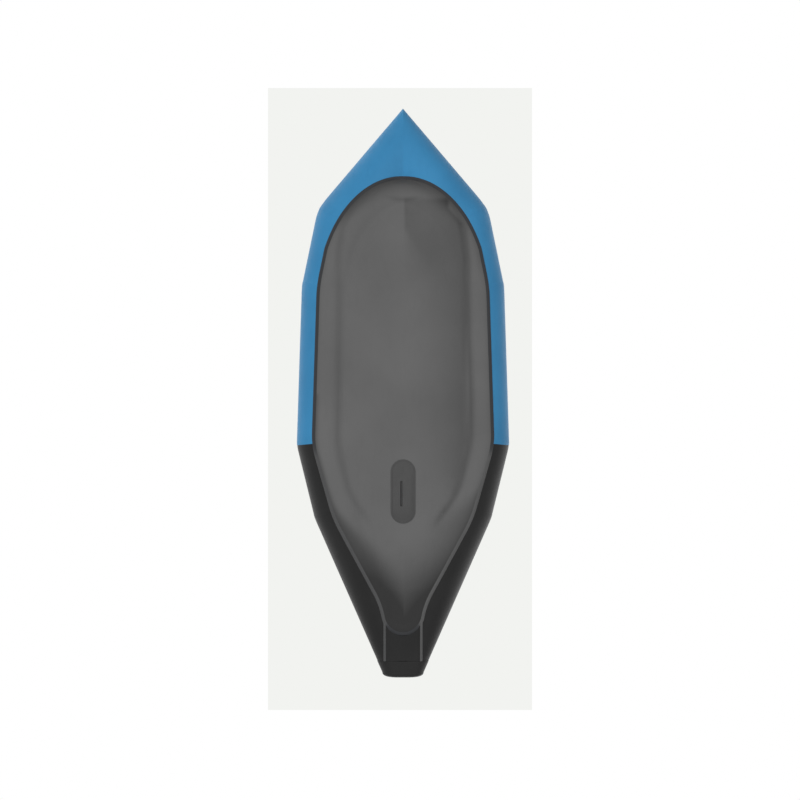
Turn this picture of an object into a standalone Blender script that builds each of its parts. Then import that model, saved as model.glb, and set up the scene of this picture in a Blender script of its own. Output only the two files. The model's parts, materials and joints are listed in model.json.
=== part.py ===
"""Inflatable packraft, hull down, bow toward -Y, port side toward +X, in metres.

The hull is a ring of mitred tube panels with a floor skin below them. The seat, the
backrest, the valves, the tie-downs and the handles are fitted to it.
"""

import math

import bmesh
import bpy
from mathutils import Matrix, Vector
from mathutils.bvhtree import BVHTree

# Hull lengths along Y, from the bow tip to the stern cap
BOW_LENGTH = 0.462
SHOULDER_LENGTH = 0.356
SIDE_LENGTH = 0.722
QUARTER_LENGTH = 0.333
STERN_LENGTH = 0.704
STERN_BULGE = 0.023

# Outer half widths at the bends
SHOULDER_HALF = 0.388
FORE_HALF = 0.461
BEAM_HALF = 0.484
QUARTER_HALF = 0.402
STERN_HALF = 0.093

# How far the tubes' underside rises above its lowest line
BOW_RISE = 0.070
SHOULDER_RISE = 0.015
PINCH_RISE = 0.012
STERN_RISE = 0.130

# Tubes: one fabric panel between each pair of bends
TUBE_RADIUS = 0.140
STERN_RADIUS = 0.0465
TUBE_WALL = 0.0012
TUBE_SIDES = 36
JOINT_GAP = 0.0002
GAP = 0.0003
MIDDLE_CLEARANCE = 0.002
TAPE_HALF_WIDTH = 0.015
TAPE_THICKNESS = 0.0008
CAP_SKIRT = 0.055
CAP_PROFILE = ((0.50, 1.0), (0.80, 0.87), (0.94, 0.58), (1.0, 0.15))

# Floor skin, from the front of its seam to the rear end arc
FLOOR_THICKNESS = 0.001
FLOOR_GAP = 0.0010
SETTLED_GAP = 0.0004
FLOOR_BEHIND_TIP = 0.320
FLOOR_AHEAD_OF_STERN = 0.174
FRONT_ARC_LENGTH = 0.650
FRONT_ARC_HALF = 0.402
FRONT_ARC_SHAPE = 2.15
REAR_ARC_LENGTH = 0.080
SEAM_INSET = 0.071
QUARTER_SEAM_INSET = 0.084
WAIST_AHEAD_OF_STERN = 0.315
WAIST_HALF = 0.108
FLOOR_END_HALF = 0.082
SEAM_ROUNDING = 0.045
FLOOR_TAPE_WIDTH = 0.014
WRAP = 0.069
VALLEY = 0.059
RIM_STEEPNESS = 1.25
BOW_EDGE_DROP = WRAP / 4
BOW_TURN_UP = 0.360
KEEL_DEPTH = 0.010
KEEL_FADE_START = 0.830
KEEL_FADE_END = 1.300
FLOOR_ROWS = 36
SETTLE_STEPS = 6
SKIN_SHARES = (1.0, 0.93, 0.86, 0.79, 0.72, 0.60, 0.40, 0.20)

# Skeg pocket under the floor
PAD_LENGTH = 0.290
PAD_WIDTH = 0.112
PAD_BEHIND_BEND = 0.062
PAD_DEPTH = 0.0092
PAD_SKIN = 0.0018
PAD_EDGE = 0.002
SLIT_LENGTH = 0.114
SLIT_WIDTH = 0.010
SLIT_ASIDE = -0.007
SLIT_BEHIND_BEND = 0.160
POCKET_WIDTH = 0.060
POCKET_FRONT = 0.040

# Main valve, heights above the crown of the tube that it stands on
VALVE_SHARE = 0.30
VALVE_SIDES = 24
NECK_RADIUS = 0.017
NECK_WALL = 0.0035
NECK_TOP = 0.014
NECK_BOTTOM = -0.024
NECK_BORE = NECK_RADIUS - NECK_WALL
FLANGE_LIP = 0.0095
VALVE_FLANGE_RADIUS = NECK_RADIUS + FLANGE_LIP
VALVE_FLANGE_THICKNESS = 0.0025
FLAT_MARGIN = 0.0015
VALVE_FLAT_RADIUS = VALVE_FLANGE_RADIUS + FLAT_MARGIN
BOOT_MARGIN = 0.014
VALVE_BOOT_RADIUS = VALVE_FLAT_RADIUS + BOOT_MARGIN
SEAT_LIP = 0.0025
SEAT_BORE = NECK_BORE - SEAT_LIP
SEAT_THICKNESS = 0.002
SPIDER_TOP = -0.011
SPIDER_THICKNESS = 0.003
SPIDER_ARM = 0.003
HUB_RADIUS = 0.006
STEM_RADIUS = 0.0027
SEAL_THICKNESS = 0.0015
POPPET_PLAY = 0.0005
POPPET_RADIUS = NECK_BORE - POPPET_PLAY
POPPET_THICKNESS = 0.0026
BUTTON_RADIUS = 0.0058
BUTTON_BOTTOM = 0.005
BUTTON_TOP = 0.009
SPRING_WIRE_RADIUS = 0.0005
SPRING_TURNS = 5
NUT_WALL = 0.008
NUT_RADIUS = NECK_RADIUS + NUT_WALL
NUT_HEIGHT = 0.006
LEASH_WIDTH = 0.003
LEASH_RADIUS = NECK_RADIUS + LEASH_WIDTH
LEASH_THICKNESS = 0.002
VALVE_CAP_WALL = 0.0035
VALVE_CAP_RADIUS = NECK_RADIUS + VALVE_CAP_WALL
VALVE_CAP_TOP = 0.0025
PIN_OVERHANG = 0.006
PIN_REACH = VALVE_CAP_RADIUS + PIN_OVERHANG
PIN_RADIUS = 0.0012
KNUCKLE_RADIUS = 0.0026
EAR_INNER = 0.0035
EAR_OUTER = 0.0065
TONGUE_LIFT = 0.6
CAP_MIDDLE = 0.3

# Mouth valve, on the same panel
MOUTH_SHARE = 0.74
MOUTH_NECK_RADIUS = 0.006
MOUTH_NECK_WALL = 0.0026
MOUTH_BORE = MOUTH_NECK_RADIUS - MOUTH_NECK_WALL
MOUTH_NECK_TOP = 0.026
MOUTH_NECK_BOTTOM = -0.012
MOUTH_FLANGE_LIP = 0.0075
MOUTH_FLANGE_RADIUS = MOUTH_NECK_RADIUS + MOUTH_FLANGE_LIP
MOUTH_FLAT_MARGIN = 0.0025
MOUTH_FLAT_RADIUS = MOUTH_FLANGE_RADIUS + MOUTH_FLAT_MARGIN
MOUTH_BOOT_RADIUS = MOUTH_FLAT_RADIUS + BOOT_MARGIN
TIP_WALL = 0.003
TIP_RADIUS = MOUTH_NECK_RADIUS + TIP_WALL
TIP_BOTTOM = 0.008
TIP_ROOF = 0.004
WING_REACH = 0.004
WING_THICKNESS = 0.003
TIP_WING = TIP_RADIUS + WING_REACH

# Tie-downs and carry handles
STRAP_GAP = 0.0012
DECK_STEP = 0.010
PATCH_EDGE = 0.0012
PATCH_MIDDLE = 0.04
PATCH_INNER = 0.33
PATCH_FLAT = 0.6
CAST_HEIGHT = 0.05
BOOT_HEIGHT = 0.003
WEB_THICKNESS = 0.0016
WEB_HALF_WIDTH = 0.0125
WEB_SUNK = 0.0008
FOOT_REACH = 0.016
LOOP_CLEARANCE = 0.0005
TIE_PATCH = (0.034, 0.044)
LOOP_STEPS = 8
BOW_STEPS = 14
BOW_FULLNESS = 0.8
RING_PLACES = (("bow", 0, 0.55), ("fore", 1, 0.50), ("stern", 4, 0.60))
RING_WIRE = 0.0025
RING_HALF_WIDTH = 0.022
RING_REACH = 0.034
RING_CORNER = 0.005
RING_TILT = math.radians(14)
HANDLE_WIRE = 0.0035
HANDLE_GRIP = 0.0075
GRIPPED = range(4, 11)
HANDLE_HALF_WIDTH = 0.055
HANDLE_REACH = 0.062
HANDLE_CORNER = 0.018
HANDLE_TILT = math.radians(26)
BOW_PATCH = (0.046, 0.042)
BOW_HANDLE_BEHIND_TIP = 0.160
STERN_PATCH = (0.036, 0.024)

# Seat and backrest
SEAT_CLEARANCE = 0.006
SEAT_WIDTH = 2 * (min(FORE_HALF, BEAM_HALF) - 2 * TUBE_RADIUS - SEAT_CLEARANCE)
SEAT_DEPTH = 0.340
SEAT_HEIGHT = 0.090
SEAT_EDGE = 0.028
SEAT_AHEAD_OF_BEAM = 0.010
SEAT_VALVE_INSET = 0.060
SEAT_FLANGE_LIP = 0.006
SEAT_FLANGE_RADIUS = MOUTH_NECK_RADIUS + SEAT_FLANGE_LIP
SEAT_NECK_HEIGHT = 0.014
PLUG_LIP = 0.0025
PLUG_RADIUS = MOUTH_NECK_RADIUS + PLUG_LIP
PLUG_ROOF = 0.003
PLUG_PEG = 0.008
BACK_INSET = 0.010
BACK_WIDTH = SEAT_WIDTH - 2 * BACK_INSET
BACK_THICKNESS = 0.046
BACK_HEIGHT = 0.190
BACK_EDGE = 0.020
BACK_AXIS_DROP = 0.068
BACK_BEHIND_SEAT = 0.050
BACK_LEAN = math.radians(10)
STRAP_WIDTH = 0.025
STRAP_THICKNESS = 0.002
SEAT_STRAP_REACH = 0.048
BACK_STRAP_DROP = 0.014
STRAP_RISE = 0.030
STRAP_STEPS = 8

BLUE = ((0.050, 0.216, 0.423), 0.55)
BLACK = ((0.023, 0.023, 0.024), 0.55)
TAPE_BLACK = ((0.040, 0.042, 0.046), 0.6)
FLOOR_GREY = ((0.127, 0.127, 0.127), 0.6)
PAD_GREY = ((0.072, 0.072, 0.072), 0.6)
WEB_BLACK = ((0.018, 0.018, 0.019), 0.8)
STEEL = ((0.600, 0.600, 0.590), 0.25, 1.0)
VALVE_BLACK = ((0.030, 0.030, 0.032), 0.35)
CAP_GREY = ((0.160, 0.165, 0.170), 0.4)
SEAL_RED = ((0.300, 0.030, 0.020), 0.6)
SEAT_GREY = ((0.110, 0.115, 0.120), 0.65)

LENGTH = BOW_LENGTH + SHOULDER_LENGTH + SIDE_LENGTH + QUARTER_LENGTH + STERN_LENGTH + STERN_BULGE
BOW_Y = -LENGTH / 2
SHOULDER_Y = BOW_Y + BOW_LENGTH
FORE_Y = SHOULDER_Y + SHOULDER_LENGTH
BEAM_Y = FORE_Y + SIDE_LENGTH
QUARTER_Y = BEAM_Y + QUARTER_LENGTH
STERN_Y = QUARTER_Y + STERN_LENGTH
FLOOR_FRONT_Y = BOW_Y + FLOOR_BEHIND_TIP
FLOOR_REAR_Y = STERN_Y - FLOOR_AHEAD_OF_STERN
PAD_FRONT_Y = BEAM_Y + PAD_BEHIND_BEND
PAD_REAR_Y = PAD_FRONT_Y + PAD_LENGTH
TUBE_BOTTOM = FLOOR_THICKNESS + FLOOR_GAP
TUBE_TOP = TUBE_BOTTOM + 2 * TUBE_RADIUS
SEAT_STRAP_TOP = TUBE_BOTTOM + TUBE_RADIUS + SEAT_STRAP_REACH
BACK_STRAP_TOP = TUBE_TOP - BACK_STRAP_DROP
BACK_AXIS_HEIGHT = TUBE_TOP - BACK_AXIS_DROP
VALLEY_RISE = TUBE_RADIUS - math.sqrt(TUBE_RADIUS**2 - VALLEY**2)
CROWN = TUBE_SIDES // 4
NOWHERE = Vector((0.0, 0.0, 0.0))
UP = Vector((0.0, 0.0, 1.0))
ALONG_X = Matrix.Rotation(math.pi / 2, 4, "Y")


# Mesh helpers


def add_object(name, mesh, finish, smooth_angle=40):
    """Puts a mesh in the scene under its node's name, in a finish of its own."""
    made = bpy.data.objects.new(name, mesh)
    bpy.context.scene.collection.objects.link(made)
    mesh.shade_smooth()
    mesh.set_sharp_from_angle(angle=math.radians(smooth_angle))
    colour, roughness, metallic = (*finish, 0.0)[:3]
    material = bpy.data.materials.new(name + "_finish")
    material.use_nodes = True
    material.diffuse_color = (*colour, 1.0)
    shader = material.node_tree.nodes["Principled BSDF"]
    shader.inputs["Base Color"].default_value = (*colour, 1.0)
    shader.inputs["Roughness"].default_value = roughness
    shader.inputs["Metallic"].default_value = metallic
    mesh.materials.append(material)
    return made


def loft(name, rings, wrap=False):
    """A closed solid through rings of points, capped at its ends or wrapped last to first.

    Each four-sided face is split along its shorter diagonal, so that the two skins of a
    thin wall bend in the same way and keep their distance.
    """
    shape = bmesh.new()
    rows = [[shape.verts.new(point) for point in ring] for ring in rings]
    pairs = list(zip(rows, rows[1:]))
    sides = []
    if wrap:
        pairs.append((rows[-1], rows[0]))
    else:
        shape.faces.new(rows[0])
        shape.faces.new(rows[-1])
    for first, second in pairs:
        for k in range(len(first)):
            n = (k + 1) % len(first)
            sides.append(shape.faces.new((first[k], first[n], second[n], second[k])))
    bmesh.ops.triangulate(shape, faces=sides, quad_method="SHORT_EDGE")
    return finished(name, shape)


def finished(name, shape):
    """Turns the shape's faces outward and makes its mesh."""
    bmesh.ops.recalc_face_normals(shape, faces=shape.faces)
    mesh = bpy.data.meshes.new(name)
    shape.to_mesh(mesh)
    shape.free()
    return mesh


def circle(radius, height, sides):
    """Points of a level circle round Z."""
    turns = [k * math.tau / sides for k in range(sides)]
    return [Vector((radius * math.cos(t), radius * math.sin(t), height)) for t in turns]


def turned(name, profile, sides=VALVE_SIDES, bored=True):
    """A profile of (radius, height) points taken round Z, as a ring or as a solid."""
    return loft(name, [circle(radius, height, sides) for radius, height in profile], bored)


def box(name, size, centre, edge=0.0, segments=3):
    """A box of full size at its centre, with its edges rounded where edge is given."""
    shape = bmesh.new()
    bmesh.ops.create_cube(shape, size=1.0)
    bmesh.ops.scale(shape, vec=size, verts=shape.verts)
    if edge:
        bmesh.ops.bevel(
            shape,
            geom=shape.edges[:],
            offset=edge,
            segments=segments,
            profile=0.5,
            affect="EDGES",
        )
    bmesh.ops.translate(shape, vec=centre, verts=shape.verts)
    return finished(name, shape)


def sweep(name, path, radii, sides=6, closed=False):
    """A round bar along a path that lies in the local XY plane, with a radius at each point."""
    rings = []
    count = len(path)
    for k, point in enumerate(path):
        ahead = path[(k + 1) % count] if closed or k + 1 < count else point
        behind = path[k - 1] if closed or k else point
        tangent = (ahead - behind).normalized()
        aside = tangent.cross(UP)
        turns = [(n + 0.5) * math.tau / sides for n in range(sides)]
        rings.append(
            [point + (aside * math.cos(t) + UP * math.sin(t)) * radii[k] for t in turns]
        )
    return loft(name, rings, closed)


def place_mesh(name, mesh, finish, frame):
    """Adds an object in a frame."""
    made = add_object(name, mesh, finish)
    made.matrix_world = frame
    bpy.context.view_layer.update()
    return made


def helper(name, mesh, frame):
    """A shape that only joins or cuts another object, kept out of the model."""
    made = bpy.data.objects.new(name, mesh)
    bpy.context.scene.collection.objects.link(made)
    made.matrix_world = frame
    made.hide_render = True
    made.display_type = "WIRE"
    return made


def combine(target, operation, mesh):
    """Joins the mesh, given in the target's own frame, to the target, or cuts it out."""
    other = helper(f"{target.name}_{mesh.name}", mesh, target.matrix_world)
    made = target.modifiers.new(mesh.name, "BOOLEAN")
    made.operation = operation
    made.solver = "EXACT"
    made.object = other


def smooth_step(value):
    """A ramp from 0 to 1 with level ends."""
    share = min(max(value, 0.0), 1.0)
    return share * share * (3.0 - 2.0 * share)


def value_at(line, place):
    """The value of a line of (place, value) points at one place."""
    for (start, first), (end, second) in zip(line, line[1:]):
        if place <= end:
            share = max(place - start, 0.0) / (end - start)
            return first + (second - first) * share
    return line[-1][1]


# Tube rings


class Ring:
    """One upright cross-section of the port tube, between its outer and its inner edge."""

    def __init__(self, outer, inner, radius, rise):
        middle = (outer + inner) / 2
        self.centre = Vector((middle.x, middle.y, TUBE_BOTTOM + rise + radius))
        self.across = Vector((outer.x - inner.x, outer.y - inner.y, 0.0)) / 2
        self.radius = radius

    def points(self, inset=0.0, shift=NOWHERE):
        """The ring's points, drawn in by inset and moved along the tube by shift."""
        share = 1.0 - inset / self.radius
        turns = [k * math.tau / TUBE_SIDES for k in range(TUBE_SIDES)]
        return [
            self.centre
            + shift
            + self.across * (share * math.cos(t))
            + UP * (self.radius * share * math.sin(t))
            for t in turns
        ]


def inward(first, last):
    """The way into the boat from a straight run of the port outline."""
    run = (last - first).normalized()
    return Vector((-run.y, run.x))


def mitre_ring(before, here, after, rise):
    """The ring at a bend of the outline."""
    middle = (inward(before, here) + inward(here, after)).normalized()
    width = 2 * TUBE_RADIUS / middle.dot(inward(here, after))
    return Ring(here, here + middle * width, TUBE_RADIUS, rise)


def hull_outline():
    """The port half of the hull's outline, tip to stern."""
    return [
        Vector((0.0, BOW_Y)),
        Vector((SHOULDER_HALF, SHOULDER_Y)),
        Vector((FORE_HALF, FORE_Y)),
        Vector((BEAM_HALF, BEAM_Y)),
        Vector((QUARTER_HALF, QUARTER_Y)),
        Vector((STERN_HALF, STERN_Y)),
    ]


def hull_rings():
    """The rings at the tip, at the four bends, at the pinch where the sides touch, and astern."""
    tip, shoulder, fore, beam, quarter, stern = hull_outline()
    opposite = Vector((-shoulder.x, shoulder.y))
    rings = [
        mitre_ring(opposite, tip, shoulder, BOW_RISE),
        mitre_ring(tip, shoulder, fore, SHOULDER_RISE),
        mitre_ring(shoulder, fore, beam, 0.0),
        mitre_ring(fore, beam, quarter, 0.0),
        mitre_ring(beam, quarter, stern, 0.0),
    ]
    pinch_half = 2 * TUBE_RADIUS / abs(inward(quarter, stern).x)
    pinch = quarter.lerp(stern, (quarter.x - pinch_half) / (quarter.x - stern.x))
    rings.append(Ring(pinch, Vector((JOINT_GAP, pinch.y)), TUBE_RADIUS, PINCH_RISE))
    rings.append(Ring(stern, Vector((JOINT_GAP, stern.y)), STERN_RADIUS, STERN_RISE))
    return rings


RINGS = hull_rings()
STERN_RING = len(RINGS) - 1
PANELS = (
    ("bow_tube", 0, 1, BLUE),
    ("shoulder_tube", 1, 2, BLUE),
    ("side_tube", 2, 3, BLUE),
    ("quarter_tube", 3, 4, BLACK),
    ("stern_tube", 4, 6, BLACK),
)
SIDES = (("port", 1.0), ("starboard", -1.0))


def on_side(points, side):
    """Port points as they are, or mirrored to starboard."""
    return [Vector((point.x * side, point.y, point.z)) for point in points]


def run(index):
    """The way the port tube runs aft from a ring."""
    return (RINGS[index + 1].centre - RINGS[index].centre).normalized()


def tube_panel(name, first, last, side, finish):
    """One fabric panel: a thin shell, open where the next panel carries the air on."""
    shifts = {first: run(first) * JOINT_GAP, last: run(last - 1) * -JOINT_GAP}
    rings = []
    for inset in (0.0, TUBE_WALL):
        skin = [
            on_side(RINGS[index].points(inset, shifts.get(index, NOWHERE)), side)
            for index in range(first, last + 1)
        ]
        rings.extend(skin if not inset else skin[::-1])
    return add_object(name, loft(name, rings, wrap=True), finish)


def along_panel(index, other, inset):
    """The port tube's section a tape's half width from a ring, on the way to another."""
    share = TAPE_HALF_WIDTH / (RINGS[other].centre - RINGS[index].centre).length
    pairs = zip(RINGS[index].points(inset), RINGS[other].points(inset))
    return [here.lerp(there, share) for here, there in pairs]


def bend_tape(name, index, side):
    """A tape welded across one mitre inside the tube."""
    rings = []
    for inset in (TUBE_WALL + GAP, TUBE_WALL + GAP + TAPE_THICKNESS):
        if index:
            ahead = along_panel(index, index - 1, inset)
        else:
            ahead = on_side(along_panel(index, index + 1, inset), -1.0)
        skin = [ahead, RINGS[index].points(inset), along_panel(index, index + 1, inset)]
        rings.extend(skin if not rings else skin[::-1])
    rings = [on_side(ring[::2], side) for ring in rings]
    return add_object(name, loft(name, rings, wrap=True), TAPE_BLACK)


def stern_section(share, inset, scale=1.0, shift=0.0):
    """Both stern tubes' outline at a share of the way from the pinch to the stern."""
    pinch, stern = RINGS[STERN_RING - 1], RINGS[STERN_RING]
    pairs = zip(pinch.points(inset), stern.points(inset))
    port = [first.lerp(second, share) for first, second in pairs]
    outboard = port[-CROWN:] + port[: CROWN + 1]
    outline = outboard + on_side(outboard, -1.0)[::-1]
    middle = pinch.centre.lerp(stern.centre, share).z
    return [
        Vector((p.x * scale, p.y + shift, middle + (p.z - middle) * scale)) for p in outline
    ]


def stern_cap():
    """The fabric cap pulled over both stern tube ends, bowed at its rear."""
    reach = STERN_Y - RINGS[STERN_RING - 1].centre.y
    front = 1.0 - CAP_SKIRT / reach
    skins = []
    for inset, bow in ((-GAP - TUBE_WALL, STERN_BULGE), (-GAP, STERN_BULGE - TUBE_WALL)):
        skin = [stern_section(1.0, inset, scale, bow * share) for scale, share in CAP_PROFILE]
        skins.append(skin + [stern_section(front, inset)])
    return add_object("stern_cap", loft("stern_cap", skins[0] + skins[1][::-1]), BLACK)


def hull_surface(pieces):
    """The skin of the given objects as one surface for other pieces to lie on."""
    points = []
    faces = []
    for piece in pieces:
        start = len(points)
        points.extend(vertex.co.copy() for vertex in piece.data.vertices)
        faces.extend([start + k for k in face.vertices] for face in piece.data.polygons)
    return BVHTree.FromPolygons(points, faces)


def cast(surface, start, way):
    """Where a ray meets the surface. It keeps off the gap between the two sides."""
    aside = Vector((MIDDLE_CLEARANCE if abs(start.x) < MIDDLE_CLEARANCE else start.x, start.y))
    return surface.ray_cast(Vector((aside.x, aside.y, start.z)), way)[0]


def build_hull():
    """All tube panels, the stern cap and the tapes inside the bends."""
    pieces = []
    for name, first, last, finish in PANELS:
        for word, side in SIDES:
            pieces.append(tube_panel(f"{name}_{word}", first, last, side, finish))
    pieces.append(stern_cap())
    bend_tape("bow_inner_tape", 0, 1.0)
    for name, index in (("shoulder", 1), ("fore", 2), ("beam", 3), ("quarter", 4)):
        for word, side in SIDES:
            bend_tape(f"{name}_inner_tape_{word}", index, side)
    return pieces


# Floor


def seam_line():
    """Half widths of the floor's seam along Y, front to rear."""
    outline = [(point.y, point.x) for point in hull_outline()]
    sides = [
        (FLOOR_FRONT_Y, value_at(outline, FLOOR_FRONT_Y) - SEAM_INSET),
        (SHOULDER_Y, SHOULDER_HALF - SEAM_INSET),
        (FORE_Y, FORE_HALF - SEAM_INSET),
        (BEAM_Y, BEAM_HALF - SEAM_INSET),
        (QUARTER_Y, QUARTER_HALF - QUARTER_SEAM_INSET),
        (STERN_Y - WAIST_AHEAD_OF_STERN, WAIST_HALF),
        (FLOOR_REAR_Y, FLOOR_END_HALF),
        (STERN_Y, FLOOR_END_HALF),
    ]
    line = []
    for row in range(FLOOR_ROWS + 1):
        share = (1 - math.cos(math.pi * row / FLOOR_ROWS)) / 2
        y = FLOOR_FRONT_Y + (FLOOR_REAR_Y - FLOOR_FRONT_Y) * share
        around = [y + SEAM_ROUNDING * step / 2 for step in (-2, -1, 0, 1, 2)]
        half = sum(value_at(sides, place) for place in around) / len(around)
        ahead = 1 - (y - FLOOR_FRONT_Y) / FRONT_ARC_LENGTH
        if ahead > 0:
            half = min(half, FRONT_ARC_HALF * math.sqrt(1 - ahead**FRONT_ARC_SHAPE))
        behind = 1 - (FLOOR_REAR_Y - y) / REAR_ARC_LENGTH
        if behind > 0:
            half *= math.sqrt(max(1 - behind**2, 0.0))
        line.append(Vector((half, y)))
    return line


def drawn_in(line, inset):
    """The seam line moved into the floor by inset."""
    moved = []
    for k, point in enumerate(line):
        ahead = line[min(k + 1, len(line) - 1)]
        behind = line[max(k - 1, 0)]
        if k in (0, len(line) - 1):
            aim = Vector((0.0, 1.0 if k == 0 else -1.0))
        else:
            aim = inward(behind, ahead)
        moved.append(point + aim * inset)
    return moved


class Floor:
    """The floor skin: where its seam runs, and how high the skin lies at each place."""

    def __init__(self, surface):
        self.surface = surface
        self.seam = seam_line()
        self.bow_height = self.tube_height(0.0, FLOOR_FRONT_Y) - TUBE_BOTTOM - BOW_EDGE_DROP
        pinch, stern = RINGS[STERN_RING - 1], RINGS[STERN_RING]
        share = (FLOOR_REAR_Y - pinch.centre.y) / (stern.centre.y - pinch.centre.y)
        self.stern_height = PINCH_RISE + (STERN_RISE - PINCH_RISE) * share

    def tube_height(self, x, y):
        """The height of the tube's underside at a place, or None beside the tubes."""
        hit = cast(self.surface, Vector((x, y, -1.0)), UP)
        return hit.z if hit else None

    def from_seam(self, x, y):
        """How far a place lies inside the seam."""
        place = Vector((abs(x), y))
        least = LENGTH
        for first, last in zip(self.seam, self.seam[1:]):
            way = last - first
            share = min(max((place - first).dot(way) / way.length_squared, 0.0), 1.0)
            least = min(least, (place - first - way * share).length)
        return least

    def rocker(self, y):
        """How far the skin turns up toward the bow and the stern."""
        ahead = (FLOOR_FRONT_Y + BOW_TURN_UP - y) / BOW_TURN_UP
        behind = (y - PAD_REAR_Y) / (FLOOR_REAR_Y - PAD_REAR_Y)
        rise = self.bow_height * max(ahead, 0.0) ** 2
        return rise + self.stern_height * max(behind, 0.0) ** 2

    def height(self, x, y):
        """The height of the skin's upper face: under the tubes, then free between them."""
        depth = self.from_seam(x, y)
        waist = (y - BEAM_Y) / (STERN_Y - WAIST_AHEAD_OF_STERN - BEAM_Y)
        wrap = WRAP * (1 - min(max(waist, 0.0), 1.0))
        past = depth - wrap
        rise = VALLEY_RISE
        if past < VALLEY:
            rise = TUBE_RADIUS - math.sqrt(TUBE_RADIUS**2 - past**2)
            rise *= RIM_STEEPNESS if past < 0 else 1.0
        else:
            half = max(value_at([(p.y, p.x) for p in self.seam], y) - wrap - VALLEY, SEAM_INSET)
            fade = smooth_step((KEEL_FADE_END - (y - BOW_Y)) / (KEEL_FADE_END - KEEL_FADE_START))
            edge = smooth_step((past - VALLEY) / VALLEY)
            rise -= KEEL_DEPTH * fade * edge * max(1 - abs(x) / half, 0.0)
        free = FLOOR_THICKNESS + self.rocker(y) + rise
        tube = self.tube_height(x, y)
        if tube is None:
            return free
        held = tube - FLOOR_GAP
        return held + (min(held, free) - held) * smooth_step(depth / (SEAM_INSET / 2))

    def excess(self, corners):
        """How far a triangle rises too near the tubes."""
        most = 0.0
        steps = SETTLE_STEPS
        for first in range(steps + 1):
            for second in range(steps + 1 - first):
                shares = (first / steps, second / steps, (steps - first - second) / steps)
                point = sum((c * s for c, s in zip(corners, shares)), Vector())
                tube = self.tube_height(point.x, point.y)
                if tube is not None:
                    most = max(most, point.z - tube + SETTLED_GAP)
        return most

    def settle(self, rows):
        """Lowers points until the faces between them clear the tubes too."""
        for first, second in zip(rows, rows[1:]):
            for k in range(len(first) - 1):
                near = (first[k], first[k + 1], second[k + 1], second[k])
                for left_out in range(4):
                    corners = [near[n] for n in range(4) if n != left_out]
                    excess = self.excess(corners)
                    for corner in corners:
                        corner.z -= excess

    def panel(self):
        """The floor skin as one closed solid."""
        edge = drawn_in(self.seam, FLOOR_TAPE_WIDTH + GAP)
        shares = [-s for s in SKIN_SHARES] + [0.0] + list(SKIN_SHARES[::-1])
        rows = []
        for point in edge[1:-1]:
            places = [point.x * share for share in shares]
            rows.append([Vector((x, point.y, self.height(x, point.y))) for x in places])
        self.settle(rows)
        rings = [row + [point - UP * FLOOR_THICKNESS for point in row[::-1]] for row in rows]
        return add_object("floor_panel", loft("floor_panel", rings), FLOOR_GREY)

    def seam_tape(self):
        """The tape over the floor's raw edge, right round the seam."""
        outer = self.seam
        inner = drawn_in(self.seam, FLOOR_TAPE_WIDTH)
        tops = []
        for pair in zip(outer, inner):
            tops.append([Vector((p.x, p.y, self.height(p.x, p.y))) for p in pair])
        self.settle(tops)
        thick = UP * FLOOR_THICKNESS
        sections = [top + [point - thick for point in top[::-1]] for top in tops]
        mirrored = [on_side(section, -1.0) for section in sections[-2:0:-1]]
        mesh = loft("floor_seam_tape", sections + mirrored, wrap=True)
        return add_object("floor_seam_tape", mesh, TAPE_BLACK)


def stadium(length, width, height, inset, turns=8):
    """Points of a level outline with straight sides along Y and round ends."""
    radius = width / 2 - inset
    straight = length / 2 - width / 2
    points = []
    for end in (1.0, -1.0):
        for k in range(turns + 1):
            t = math.pi * k / turns
            points.append(
                Vector((end * radius * math.cos(t), end * (straight + radius * math.sin(t)), height))
            )
    return points


def skeg_pocket():
    """The oval patch under the floor, with the slit and the pocket for a skeg's base."""
    middle = Vector((0.0, (PAD_FRONT_Y + PAD_REAR_Y) / 2, 0.0))
    top = VALLEY_RISE - GAP
    bottom = top - PAD_DEPTH
    rings = [
        stadium(PAD_LENGTH, PAD_WIDTH, bottom, PAD_EDGE),
        stadium(PAD_LENGTH, PAD_WIDTH, bottom + PAD_EDGE, 0.0),
        stadium(PAD_LENGTH, PAD_WIDTH, top, 0.0),
    ]
    mesh = loft("skeg_pocket", rings)
    pad = place_mesh("skeg_pocket", mesh, PAD_GREY, Matrix.Translation(middle))
    inside = PAD_DEPTH - 2 * PAD_SKIN
    length = PAD_LENGTH - POCKET_FRONT
    pocket_y = POCKET_FRONT - PAD_LENGTH / 2 + length
    size = (POCKET_WIDTH, 2 * length, inside)
    combine(pad, "DIFFERENCE", box("hollow", size, (0.0, pocket_y, bottom + PAD_DEPTH / 2)))
    slit_y = BEAM_Y + SLIT_BEHIND_BEND + SLIT_LENGTH / 2 - middle.y
    size = (SLIT_WIDTH, SLIT_LENGTH, PAD_DEPTH)
    combine(pad, "DIFFERENCE", box("slit", size, (SLIT_ASIDE, slit_y, bottom)))
    return pad


# Patches that lie on the hull


def crown_frame(index, share, side):
    """A frame on the tube's top line: X across the tube, Y aft along it, Z out of it."""
    first = RINGS[index].points()[CROWN]
    last = RINGS[index + 1].points()[CROWN]
    origin, end = on_side([first.lerp(last, share), last], side)
    return frame_of(origin, end - origin)


def frame_of(origin, along):
    """A frame at a place, with Y along the given way and X level."""
    along = along.normalized()
    across = along.cross(UP).normalized()
    out = across.cross(along)
    frame = Matrix((across, along, out)).transposed().to_4x4()
    frame.translation = origin
    return frame


def deck_frame(surface, y, step):
    """A frame on the hull's top at its middle line."""
    places = [cast(surface, Vector((0.0, at, 1.0)), -UP) for at in (y, y + step)]
    for point in places:
        point.x = 0.0
    return frame_of(places[0], places[1] - places[0])


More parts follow.
